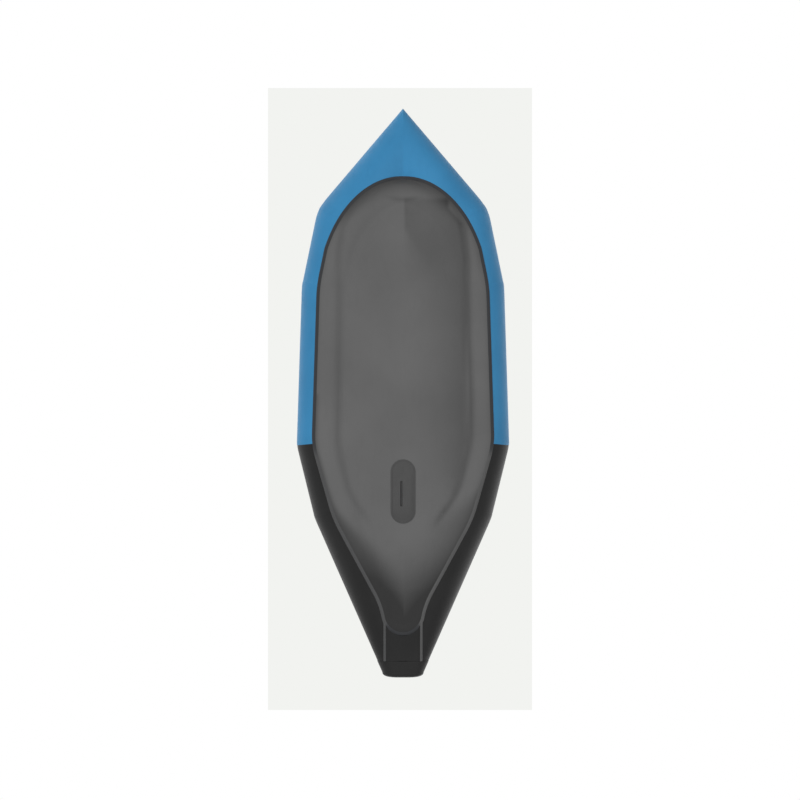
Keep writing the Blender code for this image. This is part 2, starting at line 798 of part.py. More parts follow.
def draped(name, surface, frame, size, flat, bore=0.0, sectors=16):
    """A patch in its own frame: it follows the hull below, and is level on top out to flat."""
    inverse = frame.inverted()
    down = -frame.col[2].to_3d()

    def lying(x, y):
        hit = cast(surface, frame @ Vector((x, y, CAST_HEIGHT)), down)
        return Vector((x, y, (inverse @ hit).z))

    shares = (0.0 if bore else PATCH_MIDDLE, PATCH_INNER, flat, (1.0 + flat) / 2, 1.0)
    under = []
    for share in shares:
        x, y = (bore + (half - bore) * share for half in size)
        turns = [k * math.tau / sectors for k in range(sectors)]
        under.append([lying(x * math.cos(t), y * math.sin(t)) for t in turns])
    lift = 0.0
    for inner, outer in zip(under, under[1:]):
        for k in range(sectors):
            n = (k + 1) % sectors
            for first, second in (
                (inner[k], outer[k]),
                (outer[k], outer[n]),
                (inner[k], outer[n]),
                (inner[n], outer[k]),
            ):
                middle = (first + second) / 2
                lift = max(lift, lying(middle.x, middle.y).z - middle.z)
    lift += GAP
    over = []
    for share, ring in zip(shares, under):
        for point in ring:
            point.z += lift
        heights = [BOOT_HEIGHT if share <= flat else p.z + PATCH_EDGE for p in ring]
        over.append([Vector((p.x, p.y, z)) for p, z in zip(ring, heights)])
    return loft(name, under + over[::-1], wrap=bool(bore))


def web_loop(name, wire):
    """A webbing tunnel over a bar along X, standing on a patch's level top."""
    inner = wire + LOOP_CLEARANCE
    outer = inner + WEB_THICKNESS
    centre = BOOT_HEIGHT + inner
    low = BOOT_HEIGHT - WEB_SUNK
    foot = BOOT_HEIGHT + WEB_THICKNESS
    turns = [math.pi * k / LOOP_STEPS for k in range(LOOP_STEPS + 1)]
    outline = [(FOOT_REACH, low), (FOOT_REACH, foot), (outer, foot)]
    outline += [(outer * math.cos(t), centre + outer * math.sin(t)) for t in turns]
    outline += [(-outer, foot), (-FOOT_REACH, foot), (-FOOT_REACH, low), (-inner, low)]
    outline += [(-inner * math.cos(t), centre + inner * math.sin(t)) for t in turns]
    outline += [(inner, low)]
    ends = [
        [Vector((x, y, z)) for y, z in outline] for x in (-WEB_HALF_WIDTH, WEB_HALF_WIDTH)
    ]
    return loft(name, ends)


def loop_path(half_width, reach, corner):
    """A bar along X with a round bow toward +Y, as a closed path."""
    bow = reach - corner
    path = []
    for k in range(BOW_STEPS + 1):
        t = math.pi * k / BOW_STEPS
        height = corner + bow * math.sin(t) ** BOW_FULLNESS
        path.append(Vector((half_width * math.cos(t), height, 0.0)))
    flat = half_width - corner
    return path + [Vector((x, 0.0, 0.0)) for x in (-flat, 0.0, flat)]


def tie_point(name, surface, frame, size, path, radii, tilt, finish):
    """A patch with its webbing loop, and the ring or handle that swings in it."""
    wire = radii[-2]
    mesh = draped("patch", surface, frame, size, PATCH_FLAT)
    patch = place_mesh(f"{name}_patch", mesh, WEB_BLACK, frame)
    combine(patch, "UNION", web_loop("loop", wire))
    ring = add_object(name, sweep(name, path, radii, closed=True), finish)
    axis = Matrix.Translation((0.0, 0.0, BOOT_HEIGHT + wire + LOOP_CLEARANCE))
    ring.matrix_world = frame @ axis @ Matrix.Rotation(tilt, 4, "X")


def build_tie_points(surface):
    """The D-rings on the crown, and the carry handles at bow and stern."""
    path = loop_path(RING_HALF_WIDTH, RING_REACH, RING_CORNER)
    radii = [RING_WIRE] * len(path)
    for where, index, share in RING_PLACES:
        for word, side in SIDES:
            frame = crown_frame(index, share, side)
            name = f"{where}_d_ring_{word}"
            tie_point(name, surface, frame, TIE_PATCH, path, radii, RING_TILT, STEEL)
    path = loop_path(HANDLE_HALF_WIDTH, HANDLE_REACH, HANDLE_CORNER)
    radii = [HANDLE_GRIP if k in GRIPPED else HANDLE_WIRE for k in range(len(path))]
    bow = deck_frame(surface, BOW_Y + BOW_HANDLE_BEHIND_TIP, DECK_STEP)
    tie_point("bow_handle", surface, bow, BOW_PATCH, path, radii, HANDLE_TILT, WEB_BLACK)
    stern = deck_frame(surface, STERN_Y - CAP_SKIRT / 2, -DECK_STEP)
    tie_point("stern_handle", surface, stern, STERN_PATCH, path, radii, HANDLE_TILT, WEB_BLACK)


# Valves


def bar(name, size, centre, turn=0.0):
    """A box turned round Z about the frame's origin."""
    mesh = box(name, size, centre)
    mesh.transform(Matrix.Rotation(turn, 4, "Z"))
    return mesh


def rod(name, radius, half_length, y, z, sides=16):
    """A round rod along X."""
    mesh = turned_rod(name, radius, half_length, sides)
    mesh.transform(Matrix.Translation((0.0, y, z)) @ ALONG_X)
    return mesh


def turned_rod(name, radius, half_length, sides=16):
    """A round rod along Z."""
    return turned(name, [(radius, -half_length), (radius, half_length)], sides, bored=False)


def spring_mesh(name, radius, bottom, top):
    """A compression spring round Z. It prints how far its turns lie from each other."""
    steps = 10
    sides = 5
    rings = []
    middles = []
    count = SPRING_TURNS * steps
    rise = top - bottom - 2 * SPRING_WIRE_RADIUS
    for k in range(count + 1):
        turn = math.tau * k / steps
        out = Vector((math.cos(turn), math.sin(turn), 0.0))
        height = bottom + SPRING_WIRE_RADIUS + rise * k / count
        middles.append(out * radius + UP * height)
        turns = [n * math.tau / sides for n in range(sides)]
        ring = [out * math.cos(t) + UP * math.sin(t) for t in turns]
        rings.append([middles[-1] + way * SPRING_WIRE_RADIUS for way in ring])
    later = steps // 2
    apart = min(
        (middles[k] - middles[n]).length
        for k in range(count + 1)
        for n in range(k + later, count + 1)
    )
    print(f"{name}: least gap to itself {(apart - 2 * SPRING_WIRE_RADIUS) * 1000:.2f} mm")
    return loft(name, rings)


def valve_body(frame):
    """The threaded body: flange, neck, valve seat, and a spider that guides the stem."""
    base = BOOT_HEIGHT + GAP
    flange = base + VALVE_FLANGE_THICKNESS
    profile = [
        (SEAT_BORE, NECK_BOTTOM),
        (NECK_RADIUS, NECK_BOTTOM),
        (NECK_RADIUS, base),
        (VALVE_FLANGE_RADIUS, base),
        (VALVE_FLANGE_RADIUS, flange),
        (NECK_RADIUS, flange),
        (NECK_RADIUS, NECK_TOP),
        (NECK_BORE, NECK_TOP),
        (NECK_BORE, NECK_BOTTOM + SEAT_THICKNESS),
        (SEAT_BORE, NECK_BOTTOM + SEAT_THICKNESS),
    ]
    body = place_mesh("valve_body", turned("valve_body", profile), VALVE_BLACK, frame)
    middle = SPIDER_TOP - SPIDER_THICKNESS / 2
    reach = 2 * NECK_BORE + GAP * 4
    for number in (0, 1):
        size = (reach, SPIDER_ARM, SPIDER_THICKNESS)
        arm = bar(f"arm_{number}", size, (0.0, 0.0, middle), number * math.pi / 2)
        combine(body, "UNION", arm)
    hub = turned_rod("hub", HUB_RADIUS, SPIDER_THICKNESS / 2)
    hub.transform(Matrix.Translation((0.0, 0.0, middle)))
    combine(body, "UNION", hub)
    guide = turned_rod("guide", STEM_RADIUS + GAP, SPIDER_THICKNESS)
    guide.transform(Matrix.Translation((0.0, 0.0, middle)))
    combine(body, "DIFFERENCE", guide)


def valve_poppet(frame):
    """The stem with its button on top and its closing disc below the seat."""
    disc_top = NECK_BOTTOM - GAP - SEAL_THICKNESS - GAP
    profile = [
        (POPPET_RADIUS, disc_top - POPPET_THICKNESS),
        (POPPET_RADIUS, disc_top),
        (STEM_RADIUS, disc_top),
        (STEM_RADIUS, BUTTON_BOTTOM),
        (BUTTON_RADIUS, BUTTON_BOTTOM),
        (BUTTON_RADIUS, BUTTON_TOP),
    ]
    place_mesh("valve_poppet", turned("valve_poppet", profile, bored=False), CAP_GREY, frame)
    seal_top = NECK_BOTTOM - GAP
    seal = [
        (SEAT_BORE, seal_top - SEAL_THICKNESS),
        (POPPET_RADIUS, seal_top - SEAL_THICKNESS),
        (POPPET_RADIUS, seal_top),
        (SEAT_BORE, seal_top),
    ]
    place_mesh("valve_seal", turned("valve_seal", seal), SEAL_RED, frame)
    spring = spring_mesh(
        "valve_spring",
        STEM_RADIUS + SPRING_WIRE_RADIUS + 2 * GAP,
        SPIDER_TOP + GAP,
        BUTTON_BOTTOM - GAP,
    )
    place_mesh("valve_spring", spring, STEEL, frame)


def valve_nut(frame):
    """The ring nut on the neck, tight under the tube's wall."""
    drop = TUBE_RADIUS - math.sqrt(TUBE_RADIUS**2 - NUT_RADIUS**2)
    top = -TUBE_WALL - drop - STRAP_GAP
    bore = NECK_RADIUS + GAP
    profile = [
        (bore, top - NUT_HEIGHT),
        (NUT_RADIUS, top - NUT_HEIGHT),
        (NUT_RADIUS, top),
        (bore, top),
    ]
    place_mesh("valve_nut", turned("valve_nut", profile), VALVE_BLACK, frame)


def valve_leash_and_cap(frame):
    """The leash ring with its pin, and the cap that flips open on it."""
    low = BOOT_HEIGHT + 2 * GAP + VALVE_FLANGE_THICKNESS
    high = low + LEASH_THICKNESS
    pin_height = high + GAP + KNUCKLE_RADIUS / 2
    bore = NECK_RADIUS + GAP
    profile = [(bore, low), (LEASH_RADIUS, low), (LEASH_RADIUS, high), (bore, high)]
    mesh = turned("valve_leash_ring", profile)
    leash = place_mesh("valve_leash_ring", mesh, CAP_GREY, frame)
    ear_width = EAR_OUTER - EAR_INNER
    for word, side in SIDES:
        centre = side * (EAR_INNER + EAR_OUTER) / 2
        depth = PIN_REACH - LEASH_RADIUS + LEASH_THICKNESS
        web = box(f"web_{word}", (ear_width, depth, LEASH_THICKNESS), (0.0, 0.0, 0.0))
        shift = (centre, PIN_REACH - depth / 2, low + LEASH_THICKNESS / 2)
        web.transform(Matrix.Translation(shift))
        combine(leash, "UNION", web)
        ear = rod(f"ear_{word}", KNUCKLE_RADIUS, ear_width / 2, PIN_REACH, pin_height)
        ear.transform(Matrix.Translation((centre, 0.0, 0.0)))
        combine(leash, "UNION", ear)
    pin = rod("pin", PIN_RADIUS, EAR_OUTER - ear_width / 2, PIN_REACH, pin_height, sides=12)
    combine(leash, "UNION", pin)

    bottom = high + GAP
    inside = NECK_TOP + GAP
    cap = add_object("valve_cap", cap_mesh(bore, bottom, inside), CAP_GREY)
    eye = PIN_RADIUS + GAP
    end = PIN_REACH - (eye + KNUCKLE_RADIUS) / 2
    start = VALVE_CAP_RADIUS - LEASH_THICKNESS
    size = (2 * (EAR_INNER - GAP), end - start, KNUCKLE_RADIUS)
    lift = bottom + KNUCKLE_RADIUS * TONGUE_LIFT
    tongue = box("tongue", size, (0.0, (start + end) / 2, lift))
    half = EAR_INNER - GAP
    ring = [(eye, -half), (KNUCKLE_RADIUS, -half), (KNUCKLE_RADIUS, half), (eye, half)]
    knuckle = turned("knuckle", ring, 16)
    knuckle.transform(Matrix.Translation((0.0, PIN_REACH, pin_height)) @ ALONG_X)
    to_pin = Matrix.Translation((0.0, -PIN_REACH, -pin_height))
    cap.data.transform(to_pin)
    cap.matrix_world = frame @ to_pin.inverted()
    bpy.context.view_layer.update()
    for mesh in (tongue, knuckle):
        mesh.transform(to_pin)
        combine(cap, "UNION", mesh)


def cap_mesh(bore, bottom, inside):
    """A turned cup, open below."""
    top = inside + VALVE_CAP_TOP
    edge = VALVE_CAP_TOP / 2
    profile = [
        (bore * CAP_MIDDLE, inside),
        (bore, inside),
        (bore, bottom),
        (VALVE_CAP_RADIUS, bottom),
        (VALVE_CAP_RADIUS, top - edge),
        (VALVE_CAP_RADIUS - edge, top),
        (bore * CAP_MIDDLE, top),
    ]
    return turned("valve_cap", profile, bored=False)


def mouth_valve(frame, surface):
    """The small valve for topping up by mouth: boot, stem and twist tip."""
    size = (MOUTH_BOOT_RADIUS, MOUTH_BOOT_RADIUS)
    hole = MOUTH_NECK_RADIUS + GAP
    flat = MOUTH_FLAT_RADIUS / MOUTH_BOOT_RADIUS
    boot = draped("mouth_boot", surface, frame, size, flat, hole, VALVE_SIDES)
    place_mesh("mouth_valve_boot", boot, BLACK, frame)
    base = BOOT_HEIGHT + GAP
    flange = base + LEASH_THICKNESS
    stem = [
        (MOUTH_BORE, MOUTH_NECK_BOTTOM),
        (MOUTH_NECK_RADIUS, MOUTH_NECK_BOTTOM),
        (MOUTH_NECK_RADIUS, base),
        (MOUTH_FLANGE_RADIUS, base),
        (MOUTH_FLANGE_RADIUS, flange),
        (MOUTH_NECK_RADIUS, flange),
        (MOUTH_NECK_RADIUS, MOUTH_NECK_TOP),
        (MOUTH_BORE, MOUTH_NECK_TOP),
    ]
    place_mesh("mouth_valve_stem", turned("mouth_valve_stem", stem), VALVE_BLACK, frame)
    roof = MOUTH_NECK_TOP + GAP
    tip = [
        (MOUTH_NECK_RADIUS + GAP, TIP_BOTTOM),
        (TIP_RADIUS, TIP_BOTTOM),
        (TIP_RADIUS, roof),
        (MOUTH_NECK_RADIUS, roof + TIP_ROOF),
        (MOUTH_BORE, roof + TIP_ROOF),
        (MOUTH_BORE, roof),
        (MOUTH_NECK_RADIUS + GAP, roof),
    ]
    made = place_mesh("mouth_valve_tip", turned("mouth_valve_tip", tip), CAP_GREY, frame)
    height = (roof - TIP_BOTTOM) / 2
    for word, side in SIDES:
        size = (TIP_WING - TIP_RADIUS + GAP * 2, WING_THICKNESS, height)
        wing = box(f"wing_{word}", size, NOWHERE)
        centre = side * (TIP_WING + TIP_RADIUS - GAP * 2) / 2
        wing.transform(Matrix.Translation((centre, 0.0, TIP_BOTTOM + height / 2)))
        combine(made, "UNION", wing)


def build_valves(surface, panel):
    """Both valves on one quarter panel, with their holes through its fabric."""
    frame = crown_frame(3, VALVE_SHARE, 1.0)
    size = (VALVE_BOOT_RADIUS, VALVE_BOOT_RADIUS)
    flat = VALVE_FLAT_RADIUS / VALVE_BOOT_RADIUS
    boot = draped("valve_boot", surface, frame, size, flat, NECK_RADIUS + GAP, VALVE_SIDES)
    place_mesh("valve_boot", boot, BLACK, frame)
    valve_body(frame)
    valve_poppet(frame)
    valve_nut(frame)
    valve_leash_and_cap(frame)
    mouth = crown_frame(3, MOUTH_SHARE, 1.0)
    mouth_valve(mouth, surface)
    for name, radius, here in (
        ("valve_hole", NECK_RADIUS + GAP, frame),
        ("mouth_hole", MOUTH_NECK_RADIUS + GAP, mouth),
    ):
        cutter = turned_rod(name, radius, NECK_RADIUS, VALVE_SIDES)
        cutter.transform(here)
        combine(panel, "DIFFERENCE", cutter)


# Seat and backrest


def strap_line(surface, y, start, first_height, last_height):
    """One edge of a strap: from a cushion's side across and up the inside of the tube."""
    middle = STRAP_THICKNESS / 2
    line = [start + Vector((middle + GAP, 0.0))]
    line.append(line[0] + Vector((0.0, STRAP_RISE)))
    for step in range(STRAP_STEPS + 1):
        z = first_height + (last_height - first_height) * step / STRAP_STEPS
        hit, normal = surface.ray_cast(Vector((0.0, y, z)), Vector((1.0, 0.0, 0.0)))[:2]
        off = hit + normal * (middle + STRAP_GAP)
        line.append(Vector((off.x, off.z)))
    return line


def strap(name, surface, side, y, start, first_height, last_height):
    """Webbing between a cushion's side and the tube beside it."""
    half = STRAP_WIDTH / 2
    edges = []
    for place_y in (y - half, y + half):
        line = strap_line(surface, place_y, start, first_height, last_height)
        for turn in (1.0, -1.0):
            edge = []
            for k, point in enumerate(line):
                way = (line[min(k + 1, len(line) - 1)] - line[max(k - 1, 0)]).normalized()
                aside = Vector((-way.y, way.x)) * (turn * STRAP_THICKNESS / 2)
                edge.append(Vector((point.x + aside.x, place_y, point.y + aside.y)))
            edges.append(edge)
    edges[2], edges[3] = edges[3], edges[2]
    rings = [on_side(ring, side) for ring in zip(*edges)]
    return add_object(name, loft(name, rings), WEB_BLACK)


def build_seat(surface):
    """The seat cushion with its valve, the backrest, and the straps that hold them."""
    floor_top = FLOOR_THICKNESS + VALLEY_RISE
    bottom = floor_top + GAP
    rear = BEAM_Y - SEAT_AHEAD_OF_BEAM
    middle = rear - SEAT_DEPTH / 2
    size = (SEAT_WIDTH, SEAT_DEPTH, SEAT_HEIGHT)
    seat_frame = Matrix.Translation((0.0, middle, bottom + SEAT_HEIGHT / 2))
    mesh = box("seat_cushion", size, NOWHERE, SEAT_EDGE, 4)
    seat = place_mesh("seat_cushion", mesh, SEAT_GREY, seat_frame)
    inside = [length - 2 * TUBE_WALL for length in size]
    combine(seat, "DIFFERENCE", box("air", inside, NOWHERE, SEAT_EDGE - TUBE_WALL, 4))
    valve_place = Vector(
        (
            SEAT_WIDTH / 2 - SEAT_VALVE_INSET,
            SEAT_VALVE_INSET - SEAT_DEPTH / 2,
            SEAT_HEIGHT / 2 + GAP,
        )
    )
    port = turned_rod("port", MOUTH_BORE, SEAT_EDGE / 2)
    port.transform(Matrix.Translation(valve_place))
    combine(seat, "DIFFERENCE", port)
    valve = seat_frame @ Matrix.Translation(valve_place)
    stem = [
        (MOUTH_BORE, 0.0),
        (SEAT_FLANGE_RADIUS, 0.0),
        (SEAT_FLANGE_RADIUS, LEASH_THICKNESS),
        (MOUTH_NECK_RADIUS, LEASH_THICKNESS),
        (MOUTH_NECK_RADIUS, SEAT_NECK_HEIGHT),
        (MOUTH_BORE, SEAT_NECK_HEIGHT),
    ]
    place_mesh("seat_valve_stem", turned("seat_valve_stem", stem), VALVE_BLACK, valve)
    roof = SEAT_NECK_HEIGHT + GAP
    plug = [
        (MOUTH_BORE - GAP, roof - PLUG_PEG),
        (MOUTH_BORE - GAP, roof),
        (PLUG_RADIUS, roof),
        (PLUG_RADIUS, roof + PLUG_ROOF),
    ]
    mesh = turned("seat_valve_plug", plug, bored=False)
    place_mesh("seat_valve_plug", mesh, CAP_GREY, valve)

    back_y = rear + BACK_BEHIND_SEAT
    size = (BACK_WIDTH, BACK_THICKNESS, BACK_HEIGHT)
    axis = Matrix.Translation((0.0, back_y, BACK_AXIS_HEIGHT))
    frame = axis @ Matrix.Rotation(-BACK_LEAN, 4, "X")
    place_mesh("backrest", box("backrest", size, NOWHERE, BACK_EDGE, 4), SEAT_GREY, frame)
    for word, side in SIDES:
        low = Vector((SEAT_WIDTH / 2, bottom + SEAT_HEIGHT / 2 - STRAP_RISE))
        first = bottom + SEAT_HEIGHT / 2 + STRAP_RISE
        strap(f"seat_strap_{word}", surface, side, middle, low, first, SEAT_STRAP_TOP)
        low = Vector((BACK_WIDTH / 2, BACK_AXIS_HEIGHT - STRAP_RISE / 2))
        first = BACK_AXIS_HEIGHT + STRAP_RISE
        strap(f"backrest_strap_{word}", surface, side, back_y, low, first, BACK_STRAP_TOP)


def main():
    """Clears the scene and builds every piece of the raft."""
    for old in list(bpy.data.objects):
        bpy.data.objects.remove(old, do_unlink=True)
    pieces = build_hull()
    surface = hull_surface(pieces)
    floor = Floor(surface)
    floor.panel()
    floor.seam_tape()
    skeg_pocket()
    build_tie_points(surface)
    build_valves(surface, bpy.data.objects["quarter_tube_port"])
    build_seat(surface)


main()
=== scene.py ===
"""Looks of an inflatable packraft, bow toward -Y, port side toward +X, in metres.

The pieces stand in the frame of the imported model. The camera looks straight up at the
underside, as the photograph does.
"""

from __future__ import annotations

import json
import logging
import math
from collections.abc import Callable, Iterable, Sequence
from dataclasses import dataclass, field
from enum import Enum

import bmesh
import bpy
from bpy.types import ID, Material, Mesh, Node, NodeSocket, NodeTree, Object
from mathutils import Matrix, Vector
from mathutils.bvhtree import BVHTree

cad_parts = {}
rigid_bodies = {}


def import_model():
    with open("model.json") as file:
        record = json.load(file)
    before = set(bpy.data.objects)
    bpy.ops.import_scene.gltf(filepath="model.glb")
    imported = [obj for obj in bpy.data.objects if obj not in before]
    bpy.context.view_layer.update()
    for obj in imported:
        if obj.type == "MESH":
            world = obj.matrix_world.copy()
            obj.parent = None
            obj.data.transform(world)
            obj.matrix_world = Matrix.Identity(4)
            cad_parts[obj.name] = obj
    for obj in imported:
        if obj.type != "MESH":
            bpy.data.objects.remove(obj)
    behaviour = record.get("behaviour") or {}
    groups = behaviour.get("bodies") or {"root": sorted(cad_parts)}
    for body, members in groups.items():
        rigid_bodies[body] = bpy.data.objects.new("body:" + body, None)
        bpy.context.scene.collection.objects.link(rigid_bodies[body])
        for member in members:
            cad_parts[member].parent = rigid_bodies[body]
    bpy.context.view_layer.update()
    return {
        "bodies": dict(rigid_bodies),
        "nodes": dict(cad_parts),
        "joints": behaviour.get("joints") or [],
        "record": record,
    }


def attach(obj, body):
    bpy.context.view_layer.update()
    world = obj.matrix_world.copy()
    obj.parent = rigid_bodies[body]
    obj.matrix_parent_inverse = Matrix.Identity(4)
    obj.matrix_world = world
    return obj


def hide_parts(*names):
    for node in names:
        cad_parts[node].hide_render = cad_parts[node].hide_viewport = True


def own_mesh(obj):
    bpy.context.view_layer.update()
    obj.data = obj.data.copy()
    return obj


LOG = logging.getLogger("packraft")
MM = 0.001
UP = Vector((0.0, 0.0, 1.0))

Rows = Sequence[Sequence[Vector]]
Lay = Callable[[int, int, Vector], tuple[float, float]]
Profile = Sequence[tuple[float, float]]
Ripple = Callable[[float, float], float]


class Side(Enum):
    """The raft's two sides, with the sign of X that each has."""

    PORT = 1.0
    STARBOARD = -1.0

    @property
    def word(self) -> str:
        """The side's name in the names of pieces."""
        return self.name.lower()

    def mirrored(self, points: Iterable[Vector]) -> list[Vector]:
        """Port points as they are, or mirrored to starboard."""
        return [Vector((p.x * self.value, p.y, p.z)) for p in points]


class Slot(Enum):
    """The record's material slots."""

    BLUE_HULL = "blue_hull_fabric"
    BLACK_HULL = "black_hull_fabric"
    FLOOR = "floor_fabric"
    TAPE = "seam_tape"
    POCKET = "pocket_fabric"
    WEBBING = "black_webbing"
    CUSHION = "cushion_fabric"
    STEEL = "stainless_steel"
    BLACK_PLASTIC = "black_plastic"
    GREY_PLASTIC = "grey_plastic"
    RUBBER = "red_rubber"


# Numbers


def smooth_step(value: float) -> float:
    """A ramp from 0 to 1 with level ends."""
    share = min(max(value, 0.0), 1.0)
    return share * share * (3.0 - 2.0 * share)


def value_at(line: Sequence[tuple[float, float]], place: float) -> float:
    """Reads a line of (place, value) points.

    Args:
        line: The points, with rising places.
        place: Where to read.

    Returns:
        The value there, or the last value past the end.
    """
    for (start, first), (end, second) in zip(line, line[1:]):
        if place <= end:
            share = max(place - start, 0.0) / (end - start)
            return first + (second - first) * share
    return line[-1][1]


def hump(distance: float, width: float) -> float:
    """A bell of height 1 that fades over the given width."""
    return math.exp(-((distance / width) ** 2))


def inward(first: Vector, last: Vector) -> Vector:
    """The way into the boat from a straight run of the port outline."""
    run = (last - first).normalized()
    return Vector((-run.y, run.x))


# Colours and shader nodes


def linear(colour: str) -> tuple[float, float, float, float]:
    """Turns an sRGB hex colour into linear light.

    Args:
        colour: Six hex digits after a hash sign.

    Returns:
        Red, green, blue and a full alpha.
    """
    shares = [int(colour[k : k + 2], 16) / 255 for k in (1, 3, 5)]
    red, green, blue = (s / 12.92 if s <= 0.04045 else ((s + 0.055) / 1.055) ** 2.4 for s in shares)
    return red, green, blue, 1.0


def add_node(tree: NodeTree, kind: str, inputs: dict[str | int, object], **settings: object) -> Node:
    """Adds a node with its settings and links.

    Args:
        tree: The node tree.
        kind: The node's type after "ShaderNode".
        inputs: A value, or another node's output, for each socket.
        settings: The node's own properties.

    Returns:
        The new node.
    """
    made = tree.nodes.new("ShaderNode" + kind)
    for name, value in settings.items():
        setattr(made, name, value)
    for key, value in inputs.items():
        if isinstance(value, NodeSocket):
            tree.links.new(value, made.inputs[key])
        else:
            made.inputs[key].default_value = value
    return made


@dataclass(frozen=True)
class Finish:
    """A surface finish: its colours, its roughness, and the slot that it belongs to."""

    name: str
    slot: Slot
    colour: str
    shade: str
    roughness: float

    def material(self) -> Material:
        """Makes the finish's material, or returns the one that was made before."""
        known = bpy.data.materials.get(self.name)
        if known:
            return known
        made = bpy.data.materials.new(self.name)
        made.use_nodes = True
        made.diffuse_color = linear(self.colour)
        tree = made.node_tree
        self.shade_surface(tree, tree.nodes["Principled BSDF"])
        return made

    def shade_surface(self, tree: NodeTree, shader: Node) -> None:
        """Fills in the shader. Each kind of finish does this in its own way."""
        raise NotImplementedError

    def set_surface(
        self, tree: NodeTree, shader: Node, tone: NodeSocket, grit: NodeSocket,
        relief: Sequence[tuple[NodeSocket, float]],
    ) -> None:
        """Links the colour, the roughness and the relief to the shader.

        Args:
            tree: The node tree.
            shader: The Principled shader.
            tone: 0 where the surface has the shade, 1 where it has the colour.
            grit: A fine pattern, round 0.5, that varies the roughness.
            relief: Height patterns with their depths in millimetres.
        """
        colours = {6: linear(self.shade), 7: linear(self.colour)}
        mixed = add_node(tree, "Mix", {0: tone, **colours}, data_type="RGBA")
        tree.links.new(mixed.outputs[2], shader.inputs["Base Color"])
        low, high = self.roughness - 0.07, self.roughness + 0.07
        gloss = add_node(tree, "MapRange", {0: grit, 1: 0.3, 2: 0.7, 3: low, 4: high})
        tree.links.new(gloss.outputs[0], shader.inputs["Roughness"])
        normal = None
        for height, depth in relief:
            inputs = {"Height": height, "Distance": depth * MM, "Strength": 1.0}
            if normal:
                inputs["Normal"] = normal
            normal = add_node(tree, "Bump", inputs).outputs[0]
        if normal:
            tree.links.new(normal, shader.inputs["Normal"])


def object_noise(
    tree: NodeTree, size_mm: float, detail: float = 3.0, stretch: tuple = (1, 1, 1)
) -> NodeSocket:
    """A noise pattern in the object's own space.

    Args:
        tree: The node tree.
        size_mm: The size of its largest patches.
        detail: How many finer layers it has.
        stretch: How much longer the patches are along X, Y and Z.

    Returns:
        The pattern's value output.
    """
    place = add_node(tree, "TexCoord", {}).outputs["Object"]
    scale = [1 / (size_mm * MM * longer) for longer in stretch]
    moved = add_node(tree, "Mapping", {"Vector": place, "Scale": scale})
    return add_node(tree, "TexNoise", {0: moved.outputs[0], "Scale": 1.0, "Detail": detail}).outputs[0]


@dataclass(frozen=True)
class CoatedFabric(Finish):
    """Nylon with a polyurethane coat welded on: a satin skin over a ripstop weave.

    The eye sees a low sheen, faint squares of thicker yarn, soft creases where the cloth
    has been folded, and uneven tone where it has been rubbed.
    """

    yarn_mm: float = 8.0
    yarn_depth: float = 0.12
    yarn_tone: float = 0.10
    patch_mm: float = 260.0
    crease_mm: float = 55.0
    crease_depth: float = 0.9
    gloss: float = 0.18
    scuff: float = 0.25
    grime: str = ""

    def shade_surface(self, tree: NodeTree, shader: Node) -> None:
        """Draws the ripstop squares, the rubbed patches, the soft creases and any painted shade."""
        cloth = add_node(tree, "UVMap", {}, uv_map="cloth").outputs[0]
        split = add_node(tree, "SeparateXYZ", {0: cloth})
        lines = []
        for axis in (0, 1):
            turns = add_node(
                tree, "Math", {0: split.outputs[axis], 1: 1 / (self.yarn_mm * MM)}, operation="MULTIPLY"
            )
            ramp = add_node(tree, "Math", {0: turns.outputs[0], 1: 0.5}, operation="PINGPONG")
            near = {0: ramp.outputs[0], 1: 0.0, 2: 0.13, 3: 1.0, 4: 0.0}
            lines.append(add_node(tree, "MapRange", near, interpolation_type="SMOOTHSTEP").outputs[0])
        yarns = add_node(tree, "Math", {0: lines[0], 1: lines[1]}, operation="MAXIMUM").outputs[0]
        patches = object_noise(tree, self.patch_mm, 4.0)
        grit = object_noise(tree, 3.0, 3.0)
        scuffs = object_noise(tree, 24.0, 6.0, (1, 3, 1))
        wear_and_painted_highlight = add_node(tree, "MapRange", {0: scuffs, 1: 0.52, 2: 0.75, 3: 0.0, 4: self.scuff})
        tone = add_node(tree, "MapRange", {0: patches, 1: 0.30, 2: 0.66, 3: 0.15, 4: 1.0})
        rubbed_and_painted_light = add_node(tree, "Math", {0: tone.outputs[0], 1: wear_and_painted_highlight.outputs[0]}, operation="SUBTRACT")
        lined = add_node(tree, "Math", {0: yarns, 1: self.yarn_tone}, operation="MULTIPLY")
        toned = add_node(
            tree, "Math", {0: rubbed_and_painted_light.outputs[0], 1: lined.outputs[0]}, operation="SUBTRACT", use_clamp=True
        )
        creases = object_noise(tree, self.crease_mm, 3.0, (1, 2.2, 1))
        relief = ((creases, self.crease_depth), (yarns, self.yarn_depth), (grit, 0.10))
        self.set_surface(tree, shader, toned.outputs[0], grit, relief)
        shader.inputs["Specular IOR Level"].default_value = self.gloss
        # Where the mesh carries painted light, the base colour is mixed toward a darker colour as painted
        # shade.
        if self.grime:
            base = shader.inputs["Base Color"].links[0].from_socket
            clean = add_node(tree, "Attribute", {}, attribute_name="clean").outputs["Fac"]
            colours = {6: linear(self.grime), 7: base}
            painted_shading = add_node(tree, "Mix", {0: clean, **colours}, data_type="RGBA")
            tree.links.new(painted_shading.outputs[2], shader.inputs["Base Color"])


